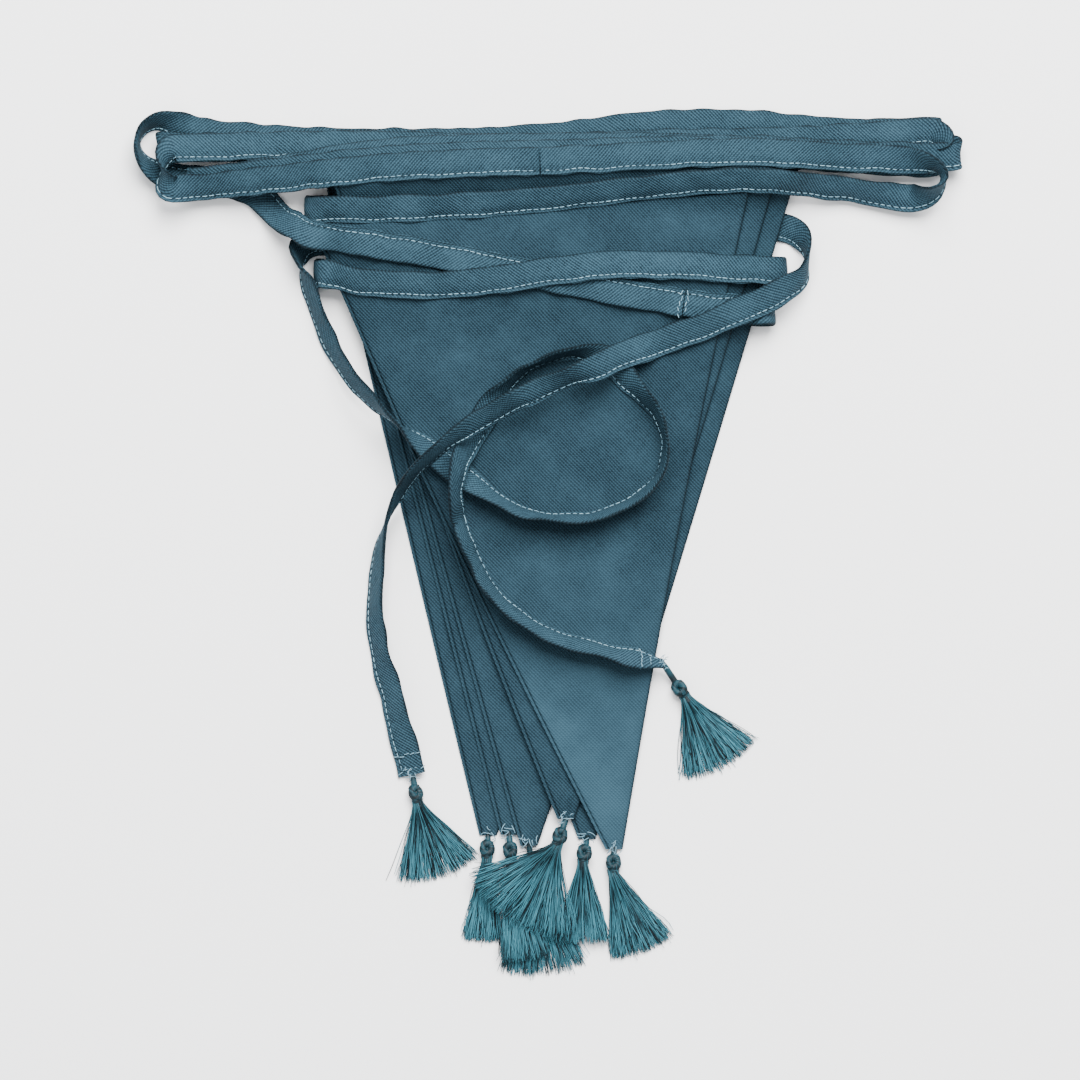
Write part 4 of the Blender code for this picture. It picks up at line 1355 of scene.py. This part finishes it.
@dataclass
class TapeLength:
    """One length of the folded and stitched tape."""

    name: str
    line: Array
    across: Array
    sewn: Array
    finish: bpy.types.Material
    thread: bpy.types.Material
    step: float = 2.0
    stitch_inset: float = 2.0
    stitch_pitch: float = 2.9
    stitch_length: float = 2.2
    stitch_radius: float = 0.18
    stitch_unevenness: float = 0.18
    stitch_sides: int = 5
    cross_pitch: float = 2.5
    cross_length: float = 2.1
    cross_skew: float = 0.9
    cross_height: float = 0.95
    folded_half: float = 0.92
    stitched_half: float = 0.5
    stitched_dip: float = 0.16
    hem_thicker: float = 0.3
    end_thinner: float = 0.15
    end_hem: float = 9.0
    twist: float = 0.09
    wander: float = 0.22
    width_unevenness: float = 0.028
    fine_wrinkle: float = 0.09
    broad_wrinkle: float = 0.14
    pinch: float = 0.0
    pinched_share: float = 0.66
    seam_rows: tuple[tuple[float, bool], ...] = ()
    seed: int = 0

    def __post_init__(self) -> None:
        """Read a fine smooth line, its frames and its unevenness."""
        steps = np.linalg.norm(np.diff(self.line, axis=0), axis=1)
        times = np.concatenate(([0.0], np.cumsum(np.maximum(steps, LEAST_STEP))))
        line, across, sewn = [], [], []
        for index, span in enumerate(steps):
            count = max(2, round(span / self.step))
            at = times[index] + (times[index + 1] - times[index]) * np.arange(count) / count
            line.append(curve_between(self.line, times, index, at))
            across.append(curve_between(self.across, times, index, at))
            change = self.sewn[index + 1] - self.sewn[index]
            sewn.append(self.sewn[index] + change * np.arange(count) / count)
        middle = np.concatenate([*line, self.line[-1:]])
        width = np.concatenate([*across, self.across[-1:]])
        self.fine_sewn = np.concatenate([*sewn, self.sewn[-1:]])
        gaps = np.linalg.norm(np.diff(middle, axis=0), axis=1)
        self.distance = np.concatenate(([0.0], np.cumsum(gaps)))
        self.total = float(self.distance[-1])
        self.heading = unit(np.gradient(middle, axis=0))
        width = unit(width - self.heading * np.sum(width * self.heading, axis=1, keepdims=True))
        face = np.cross(self.heading, width)
        places = self.distance[:, None]
        width = unit(width + face * ripple(places, 24.0, self.seed)[:, None] * self.twist)
        self.width = width
        self.face = np.cross(self.heading, width)
        self.middle = middle + width * ripple(places, 21.0, self.seed + 1)[:, None] * self.wander
        pinched = 0.0
        if self.pinch:
            pinched = self.pinched_share * smooth(1.0 - (self.total - self.distance) / self.pinch)
        uneven = 1.0 + self.width_unevenness * ripple(places, 13.0, self.seed + 2)
        self.half_width = TAPE_WIDTH / 2 * uneven * (1.0 - pinched)

    def thickness(self, across: Array) -> Array:
        """Half of the tape's thickness across its width.

        Args:
            across: From -1 at the stitched edge to 1 at the folded edge.

        Returns:
            The half thicknesses.
        """
        folded = self.folded_half * np.sqrt(np.clip((1.0 - across) / 0.16, 0.02, 1.0))
        stitched = self.stitched_half * np.sqrt(np.clip((1.0 + across) / 0.05, 0.3, 1.0))
        line = -1.0 + 2.0 * self.stitch_inset / TAPE_WIDTH
        body = stitched + (folded - stitched) * smooth((across - line) / 0.55)
        return body - self.stitched_dip * ridge(across - line, 0.07)

    def section(self) -> Array:
        """Where across the width the section's points are, from one edge to the other."""
        inner = np.array(TAPE_HALF_SECTION)
        return np.concatenate((-inner[::-1], inner))

    def ends(self) -> Array:
        """How much thicker the tape is near its hemmed or joined ends, at each place along it."""
        from_end = np.minimum(self.distance, self.total - self.distance)
        hem = self.hem_thicker * smooth((self.end_hem - from_end) / 1.5)
        return 1.0 + hem - self.end_thinner * smooth(1.0 - from_end / 0.3)

    def build(self, rests_on: list[str]) -> list[bpy.types.Object]:
        """Make the tape and its stitches.

        Args:
            rests_on: The names of what it lies on; not used.

        Returns:
            The pieces.
        """
        across = self.section()
        half = self.thickness(across[None] * self.fine_sewn[:, None]) * self.ends()[:, None]
        sides = across[None] * self.half_width[:, None]
        base = self.middle[:, None] + self.width[:, None] * sides[:, :, None]
        wrinkle = self.wrinkles(across)
        upper = base + self.face[:, None] * (half + wrinkle)[:, :, None]
        lower = base - self.face[:, None] * (half - wrinkle)[:, :, None]
        rings = np.concatenate((upper, lower[:, ::-1]), axis=1)
        rings[:, :, 2] = np.maximum(rings[:, :, 2], 0.0)
        count, size = rings.shape[:2]
        faces = np.concatenate((ring_faces(count, size), self.cap_faces(count, size)))
        sewn = self.fine_sewn[:, None] * np.concatenate((sides, sides[:, ::-1]), axis=1)
        along = np.broadcast_to(self.distance[:, None], sewn.shape)
        weave = np.stack((along, sewn), axis=-1).reshape(-1, 2)
        edges = np.column_stack((TAPE_WIDTH / 2 + weave[:, 1], TAPE_WIDTH / 2 - weave[:, 1]))
        piece = make_piece(self.name + "_cloth", rings.reshape(-1, 3), faces, weave, self.finish, edges)
        hold(piece, self.name, Slot.TAPE)
        return [piece, self.stitches()]

    def wrinkles(self, across: Array) -> Array:
        """How far the sheet stands off its own middle at each point of the section.

        Args:
            across: Where across the width the points are.

        Returns:
            The offsets, as places along by points across.
        """
        along, side = np.meshgrid(self.distance, across * 6.0, indexing="ij")
        places = np.column_stack((along.ravel(), side.ravel()))
        fine = ripple(places, 9.0, self.seed + 3) * self.fine_wrinkle
        broad = ripple(places, 24.0, self.seed + 4) * self.broad_wrinkle
        return (fine + broad).reshape(along.shape)

    @staticmethod
    def cap_faces(count: int, size: int) -> Array:
        """The quads that close a sweep's two ends, across its flat section."""
        side = np.arange(size // 2 - 1)
        first = np.column_stack((side, side + 1, size - 2 - side, size - 1 - side))
        return np.concatenate((first, first[:, ::-1] + (count - 1) * size))

    def at(self, distances: Array, values: Array) -> Array:
        """Values along the tape, read at some distances."""
        return np.stack([np.interp(distances, self.distance, column) for column in values.T], axis=-1)

    def cross_row(self, at: float, near_end: bool, side: float) -> Array:
        """A row of stitches across the tape.

        Args:
            at: How far it is from the end.
            near_end: Whether that is the length's last end.
            side: 1 for the upper face and -1 for the lower one.

        Returns:
            The stitches' paths.
        """
        random = np.random.default_rng(round(at * 10) + self.seed)
        place = np.array([self.total - at if near_end else at])
        middle, width, face = (self.at(place, values)[0] for values in (self.middle, self.width, self.face))
        heading = self.at(place, self.heading)[0]
        half = float(np.interp(place, self.distance, self.half_width)[0])
        starts = np.arange(-half + 0.4, half - 1.8, self.cross_pitch)
        share = np.linspace(0.0, 1.0, len(STITCH_SHARES))
        skew = random.uniform(-self.cross_skew, self.cross_skew, (len(starts), 2))
        off = (self.cross_height + 0.25 * np.sin(share * math.pi))[None, :, None] * face * side
        across = (starts[:, None] + self.cross_length * share)[:, :, None] * width
        along = (skew[:, :1] + (skew[:, 1:] - skew[:, :1]) * share)[:, :, None] * heading
        return middle + across + along + off

    def edge_row(self, distances: Array, side: float) -> Array:
        """The row of stitches along the stitched edge, on one face.

        Args:
            distances: Where along the tape the stitches' points are, as stitches by points.
            side: 1 for the upper face and -1 for the lower one.

        Returns:
            The stitches' paths.
        """
        places = distances.ravel()
        middle, width, face = (self.at(places, values) for values in (self.middle, self.width, self.face))
        sewn = np.interp(places, self.distance, self.fine_sewn)
        inset = TAPE_WIDTH / 2 - self.stitch_inset
        wander = ripple(places[:, None], 40.0, self.seed + 5) * self.stitch_unevenness
        narrow = np.interp(places, self.distance, self.half_width) / (TAPE_WIDTH / 2)
        middle = middle - width * ((inset * narrow + wander) * sewn)[:, None]
        arch = np.tile(np.array(STITCH_ARCH), len(distances))
        off = self.thickness(np.array([-inset / (TAPE_WIDTH / 2)]))[0] + arch
        return (middle + face * (off * side)[:, None]).reshape(*distances.shape, 3)

    def stitches(self) -> bpy.types.Object:
        """Make the rows of stitches on both faces.

        Returns:
            The piece.
        """
        random = np.random.default_rng(self.seed)
        starts = np.arange(self.end_hem * 0.3, self.total - self.stitch_pitch, self.stitch_pitch)
        starts = starts + random.uniform(-self.stitch_unevenness, self.stitch_unevenness, len(starts))
        distances = starts[:, None] + self.stitch_length * np.array(STITCH_SHARES)[None]
        swell = self.stitch_radius * np.array(STITCH_SWELL)
        strand = np.repeat(np.arange(len(starts)) * 0.37, len(STITCH_SHARES) * self.stitch_sides)
        edge_weave = np.column_stack((strand, np.repeat(distances.ravel(), self.stitch_sides)))
        groups, weave = [], []
        for side in (1.0, -1.0):
            paths = self.edge_row(distances, side)
            groups.append(tubes(paths, np.broadcast_to(swell, paths.shape[:2]), self.stitch_sides))
            weave.append(edge_weave)
        for side in (1.0, -1.0):
            paths = np.concatenate([self.cross_row(at, near_end, side) for at, near_end in self.seam_rows])
            points, faces = tubes(paths, np.full(paths.shape[:2], self.stitch_radius), self.stitch_sides)
            groups.append((points, faces))
            weave.append(np.column_stack((np.arange(len(points)) * 0.01, points[:, 0])))
        points, faces = joined(groups)
        piece = make_piece(self.name + "_stitches", points, faces, np.concatenate(weave), self.thread)
        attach(piece, "root")
        return piece


@dataclass
class Tassel:
    """One tassel: a knotted loop, a bound neck and a skirt of fine threads that fans out on the floor."""

    name: str
    place: TasselPlace
    tip_z: float
    finish: bpy.types.Material
    wraps: bpy.types.Material
    thread: bpy.types.Material
    strands: int = 440
    strand_points: int = 12
    strand_sides: int = 3
    strand_radius: float = 0.165
    strand_end: float = 0.6
    crowding: float = 0.85
    scatter: float = 0.07
    stray_share: float = 0.03
    stray_degrees: float = 5.0
    stray_longer: float = 0.05
    most_shorter: float = 0.1
    parting: float = 0.1
    least_swing: float = 4.0
    most_swing: float = 15.0
    curl: float = 0.62
    skirt_height: float = 2.4
    puff: float = 1.6
    neck_height: float = 2.0
    neck_length: float = 2.4
    neck_half: float = 2.0
    neck_thick: float = 3.2
    knot_points: int = 49
    knot_sides: int = 5
    ring_strands: int = 9
    ring_strand_radius: float = 0.5
    ring_back: float = 5.0
    ring_half: float = 1.95
    ring_braid: float = 1.15
    ring_height: float = 1.25
    most_tilt: float = 0.75
    wrap_count: int = 3
    wrap_strand_radius: float = 0.46
    wrap_half: float = 2.25
    wrap_pitch: float = 0.75
    core_points: int = 10
    core_sides: int = 12
    loose_count: int = 9
    loose_points: int = 7
    loose_sides: int = 4
    loose_radius: float = 0.17
    loose_bend: float = 1.6
    loose_arch: float = 0.9
    seed: int = 0

    def __post_init__(self) -> None:
        """Settle the neck and the directions that the pieces share."""
        place = self.place
        self.axis_angle = (place.low + place.high) / 2
        self.base = place.layer * FAN_LAYER
        self.neck_z = self.base + self.neck_height
        self.tip = np.array([place.tip_x, place.tip_y, self.tip_z])
        self.neck = np.array([place.neck_x, place.neck_y, self.neck_z])
        self.random = np.random.default_rng(1000 + self.seed)

    @staticmethod
    def direction(degrees: Array) -> Array:
        """Level directions, measured from -Y towards +X."""
        angle = np.radians(degrees)
        return np.stack((np.sin(angle), -np.cos(angle), np.zeros_like(angle)), axis=-1)

    def build(self) -> list[bpy.types.Object]:
        """Make the skirt, the head and the loose stitches, in that order of random draws.

        Returns:
            The pieces.
        """
        return [self.skirt(), self.head(), self.loose_stitches()]

    def strand_paths(self) -> Array:
        """The skirt's threads, from the neck out over the floor.

        Returns:
            The paths, as threads by points by three.
        """
        random, place, count = self.random, self.place, self.strands
        lateral = random.uniform(-1.0, 1.0, count)
        lateral = np.sign(lateral) * np.abs(lateral) ** self.crowding
        height = random.uniform(0.0, 1.0, count)
        spread = (place.high - place.low) / 2
        angle = self.axis_angle + spread * (lateral + random.normal(0.0, self.scatter, count))
        stray = random.uniform(0.0, 1.0, count) < self.stray_share
        angle = angle + np.where(stray, random.normal(0.0, self.stray_degrees, count), 0.0)
        uneven = 1.0 - self.most_shorter * random.random(count) + self.stray_longer * stray
        length = ((place.length + self.neck_length) * uneven)[:, None, None]
        axis = self.direction(np.array(self.axis_angle))
        side = np.array([-axis[1], axis[0], 0.0])
        outward = self.direction(angle)
        start = self.neck - axis * self.neck_length + side * (lateral * self.neck_half)[:, None]
        start[:, 2] = self.neck_z + (height - 0.5) * self.neck_thick
        share = np.linspace(0.0, 1.0, self.strand_points)[None]
        early = length * self.parting * (1.0 - np.exp(-share[:, :, None] / self.parting))
        late = length * share[:, :, None] - early
        paths = start[:, None] + axis * early + outward[:, None] * late
        start_turn = random.uniform(0.0, TURN, (count, 1))
        swing = share * random.uniform(self.least_swing, self.most_swing, (count, 1)) + start_turn
        curl = random.normal(0.0, self.curl, (count, 1)) * (np.sin(swing) - np.sin(start_turn))
        across = np.stack((-outward[:, 1], outward[:, 0], outward[:, 2]), axis=-1)
        paths = paths + across[:, None] * (curl * share)[:, :, None]
        paths[:, :, 2] = self.settled(paths[:, :, 2], height[:, None], share)
        return paths

    def settled(self, start: Array, height: Array, share: Array) -> Array:
        """How high the skirt's threads run: down from the neck, a little puffed up, then on the floor.

        Args:
            start: The height that each thread starts at, at each of its points.
            height: How high in the skirt each thread lies, from 0 to 1.
            share: How far along its thread each point is, from 0 to 1.

        Returns:
            The heights, as threads by points.
        """
        least = self.base + self.strand_radius
        low = least + height * self.skirt_height * (1.0 - 0.5 * share)
        puff = self.puff * np.sin(np.minimum(share * 3.2, 1.0) * math.pi) * (height - 0.2)
        return np.maximum(start + (low - start) * smooth(share * 3.5) + puff, least)

    def skirt(self) -> bpy.types.Object:
        """Make the skirt of threads.

        Returns:
            The piece.
        """
        paths = self.strand_paths()
        radii = np.full(self.strand_points, self.strand_radius)
        radii[-1] *= self.strand_end
        points, faces = joined([tubes(paths, np.broadcast_to(radii, paths.shape[:2]), self.strand_sides)])
        shade = self.random.uniform(0.0, 40.0, self.strands)
        strand = np.repeat(shade, self.strand_points * self.strand_sides)
        share = np.repeat(np.linspace(0.0, 1.0, self.strand_points), self.strand_sides)
        weave = np.column_stack((strand, np.tile(share, self.strands) * self.place.length))
        piece = make_piece(self.name + "_threads", points, faces, weave, self.finish)
        return hold(piece, self.name, Slot.FLOSS)

    def head(self) -> bpy.types.Object:
        """Make the knotted loop and the wraps round the neck.

        Returns:
            The piece.
        """
        plan = self.neck - self.tip
        reach = float(np.hypot(plan[0], plan[1]))
        ahead = unit(np.array([plan[0], plan[1], 0.0]))
        level = np.array([-ahead[1], ahead[0], 0.0])
        tilt = float(self.random.uniform(-self.most_tilt, self.most_tilt))
        side = level * math.cos(tilt) + np.array([0.0, 0.0, math.sin(tilt)])
        up = np.cross(ahead, side)
        middle = self.tip + ahead * max(reach - self.ring_back, 2.0)
        middle[2] = max(self.base + 2.7, (self.tip_z + self.neck_z) / 2)
        rings = self.ring_paths(middle, ahead, side, up)
        wraps = self.wrap_paths(middle[2], reach, ahead, side, up)
        core, swell = self.core_path(middle[2])
        points, faces = joined([
            tubes(rings, np.full(rings.shape[:2], self.ring_strand_radius), self.knot_sides),
            tubes(wraps, np.full(wraps.shape[:2], self.wrap_strand_radius), self.knot_sides),
            tubes(core[None], swell[None], self.core_sides),
        ])
        weave = np.column_stack((np.linspace(0.0, 9.0, len(points)), points[:, 1]))
        piece = make_piece(self.name + "_head", points, faces, weave, self.wraps)
        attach(piece, "root")
        return piece

    def ring_paths(self, middle: Array, ahead: Array, side: Array, up: Array) -> Array:
        """The strands that are braided into the knotted loop.

        Args:
            middle: The loop's middle.
            ahead: The direction from the pennant's tip to the neck.
            side: The direction across the loop.
            up: The direction out of the loop's face.

        Returns:
            The paths, as strands by points by three.
        """
        turn = np.linspace(0.0, TURN, self.knot_points)
        paths = []
        for strand in range(self.ring_strands):
            twist = turn * 3.0 + strand * TURN / self.ring_strands
            braid = self.ring_braid + 0.25 * np.sin(turn * 2.0 + strand)
            ring = self.ring_half + braid * np.cos(twist)
            paths.append(
                middle
                + ahead * (np.cos(turn) * ring * 1.12)[:, None]
                + side * (np.sin(turn) * ring)[:, None]
                + up * (self.ring_height * np.sin(twist) + 0.4 * np.cos(turn))[:, None]
            )
        return np.array(paths)

    def wrap_paths(self, middle_z: float, reach: float, ahead: Array, side: Array, up: Array) -> Array:
        """The turns of thread that bind the neck.

        Args:
            middle_z: How high the loop's middle is.
            reach: The plan distance from the pennant's tip to the neck.
            ahead: The direction from the pennant's tip to the neck.
            side: The direction across the loop.
            up: The direction out of the loop's face.

        Returns:
            The paths, as turns by points by three.
        """
        turn = np.linspace(0.0, TURN, self.knot_points)
        paths = []
        for wrap in range(self.wrap_count):
            at = self.tip + ahead * (reach - 2.2 + wrap * self.wrap_pitch)
            at[2] = middle_z + (self.neck_z - middle_z) * (0.4 + wrap * 0.2)
            wide = self.wrap_half + 0.12 * (wrap % 2)
            paths.append(
                at
                + side * (np.cos(turn) * wide)[:, None]
                + up * (np.sin(turn) * wide * 0.72)[:, None]
                + ahead * (0.35 * turn / TURN)[:, None]
            )
        return np.array(paths)

    def core_path(self, middle_z: float) -> tuple[Array, Array]:
        """The solid core that runs from the pennant's tip through the loop into the neck.

        Args:
            middle_z: How high the loop's middle is.

        Returns:
            The core's path and its radius at each point.
        """
        plan = self.neck - self.tip
        share = np.linspace(0.0, 1.0, self.core_points)
        level = np.linspace(-0.12, 1.12, self.core_points)
        core = level[:, None] * plan * np.array([1.0, 1.0, 0.0]) + self.tip
        core[:, 2] = np.interp(share, (0.0, 0.4, 1.0), (self.tip_z, middle_z - 1.3, self.neck_z))
        return core, np.interp(share, CORE_SHARES, CORE_RADII)

    def loose_stitches(self) -> bpy.types.Object:
        """Make the few pale hand stitches that hold the loop to its tip.

        Returns:
            The piece.
        """
        random, count = self.random, self.loose_count
        share = np.linspace(-0.5, 0.5, self.loose_points)
        angle = random.uniform(0.0, TURN, count)
        reach = random.uniform(1.6, 4.2, count)
        middle = self.tip[None] + np.column_stack((
            random.uniform(-3.2, 3.2, count),
            random.uniform(-2.2, 3.6, count),
            random.uniform(1.0, 1.9, count),
        ))
        middle[:, 2] = np.maximum(middle[:, 2], self.base + 1.0)
        heading = np.column_stack((np.cos(angle), np.sin(angle), np.zeros(count)))
        across = np.column_stack((-np.sin(angle), np.cos(angle), np.zeros(count)))
        bend = random.normal(0.0, self.loose_bend, count)[:, None] * share[None] ** 2
        paths = (
            middle[:, None]
            + heading[:, None] * (reach[:, None] * share[None])[:, :, None]
            + across[:, None] * bend[:, :, None]
        )
        paths[:, :, 2] += self.loose_arch * np.cos(share * math.pi)[None] - 0.5
        radii = np.full(paths.shape[:2], self.loose_radius)
        points, faces = joined([tubes(paths, radii, self.loose_sides)])
        strand = np.repeat(angle, self.loose_points * self.loose_sides)
        weave = np.column_stack((strand, np.tile(np.repeat(share, self.loose_sides), count)))
        piece = make_piece(self.name + "_stitches", points, faces, weave, self.thread)
        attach(piece, "root")
        return piece


@dataclass
class Studio:
    """The floor, the soft light and the camera straight above.

    The lights' places and sizes are in metres, and their powers in watts.
    """

    floor: bpy.types.Material
    view_height: float = 3960.0
    lens: float = 300.0
    sensor: float = 36.0
    floor_size: float = 6000.0
    floor_drop: float = 0.2
    key_place: tuple[float, float, float] = (0.3, 1.55, 2.15)
    key_size: float = 1.9
    key_power: float = 320.0
    fill_place: tuple[float, float, float] = (-1.1, -0.5, 1.8)
    fill_size: float = 1.8
    fill_power: float = 14.0
    sky: Colour = (0.93, 0.96, 1.0, 1.0)
    sky_strength: float = 0.9

    def build(self) -> None:
        """Make the floor, the lights and the camera."""
        scene = bpy.context.scene
        reach = self.floor_size / 2
        corners = np.array([(-reach, -reach), (reach, -reach), (reach, reach), (-reach, reach)])
        points = np.column_stack((corners, np.full(4, -self.floor_drop)))
        floor = make_piece("floor", points, np.array([[0, 1, 2, 3]]), corners, self.floor)
        self.add_light("key", self.key_place, self.key_size, self.key_power)
        self.add_light("fill", self.fill_place, self.fill_size, self.fill_power)
        world = bpy.data.worlds.new("soft_room")
        world.use_nodes = True
        background = world.node_tree.nodes["Background"]
        background.inputs["Color"].default_value = self.sky
        background.inputs["Strength"].default_value = self.sky_strength
        scene.world = world
        camera = bpy.data.cameras.new("camera")
        camera.lens = self.lens
        camera.sensor_width = self.sensor
        holder = bpy.data.objects.new("camera", camera)
        holder.location = (0.0, 0.0, self.view_height * MM)
        scene.collection.objects.link(holder)
        scene.camera = holder

    def add_light(self, name: str, place: tuple[float, float, float], size: float, power: float) -> None:
        """Add one square area light that looks at the bunting.

        Args:
            name: The light's name.
            place: Where it is, in metres.
            size: Its side, in metres.
            power: Its power, in watts.
        """
        light = bpy.data.lights.new(name, "AREA")
        light.size = size
        light.energy = power
        holder = bpy.data.objects.new(name, light)
        holder.location = place
        x, y, z = place
        holder.rotation_euler = (math.atan2(math.hypot(x, y), z), 0.0, math.atan2(x, -y))
        bpy.context.scene.collection.objects.link(holder)


def tip_heights(layers: Layers, route: TapeRoute) -> dict[str, float]:
    """The middle height of each tip that carries a tassel.

    Args:
        layers: The stack.
        route: The tape.

    Returns:
        The heights by the tassels' names.
    """
    heights = {}
    for number, cut in enumerate(PENNANTS.values(), 1):
        under = layers.support(RUN_LEVELS[cut.run], np.array([(cut.tip_x, cut.tip_y)]))[0]
        heights[f"tassel_{number}"] = under + CLOTH_THICK / 2
    heights["tassel_7"], heights["tassel_8"] = route.line[0, 2], route.line[-1, 2]
    return heights


def main() -> None:
    """Build every piece in turn and report it."""
    logging.basicConfig(level=logging.INFO, format="%(name)s: %(message)s")
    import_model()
    twill = Twill(
        name="twill",
        light=PENNANT_BLUE,
        faded_and_lit=FADED_AND_LIT_PENNANT,
        seam=Pennant.seam,
        seam_width=0.2,
        stitch_share=0.0,
        pucker=0.3,
        slit_share=0.0,
        edge_shade_share=0.9,
        painted_light_share=0.6,
    )
    cloth = twill.build()
    # A copy for the lower pennants with almost none of the painted light, so they stay darker: painted
    # shade where they lie low in the stack.
    under = replace(twill, name="twill_shaded", painted_light_share=0.05).build()
    tape = Twill(
        name="tape_twill",
        light=TAPE_BLUE,
        faded_and_lit=FADED_TAPE,
        seam=TapeLength.stitch_inset,
        seam_width=0.5,
        stitch_share=1.0,
        pucker=1.1,
        slit_share=0.8,
        edge_shade_share=0.85,
    ).build()
    floss = Floss("silk_floss", (0.0005, 0.0035, 0.0055, 1.0), (0.036, 0.148, 0.192, 1.0)).build()
    # A darker copy of the floss for the knot and the neck's wraps: painted shade on the tassels' heads.
    wraps = Floss("silk_wraps_shaded", (0.001, 0.007, 0.01, 1.0), (0.012, 0.062, 0.084, 1.0)).build()
    thread = Floss(
        "sewing_thread", (0.12, 0.22, 0.28, 1.0), (0.19, 0.33, 0.4, 1.0), roughness=0.55, sheen=0.1
    ).build()
    layers = Layers()
    route = TapeRoute(layers)
    for number, (name, cut) in enumerate(PENNANTS.items()):
        piece = Pennant(name, cut, under if number else cloth, seed=number * 7).build(layers)
        LOG.info("%s made", piece.name)
    for number, (line, across, sewn) in enumerate(route.lengths(), 1):
        length = TapeLength(
            f"tape_length_{number}",
            line,
            across,
            sewn,
            tape,
            thread,
            pinch=TASSEL_PINCH if number == 3 else 0.0,
            seam_rows=SEAM_ROWS[number - 1],
            seed=200 + number * 10,
        )
        for piece in length.build(["pennant_1_cloth", "floor"]):
            LOG.info("%s made, %.2f m long", piece.name, length.total * MM)
    heights = tip_heights(layers, route)
    for number, (name, place) in enumerate(TASSELS.items()):
        for piece in Tassel(name, place, heights[name], floss, wraps, thread, seed=number).build():
            LOG.info("%s made", piece.name)
    Studio(Plaster("floor_paint", (0.9, 0.9, 0.9, 1.0)).build()).build()


if __name__ == "__main__":
    main()
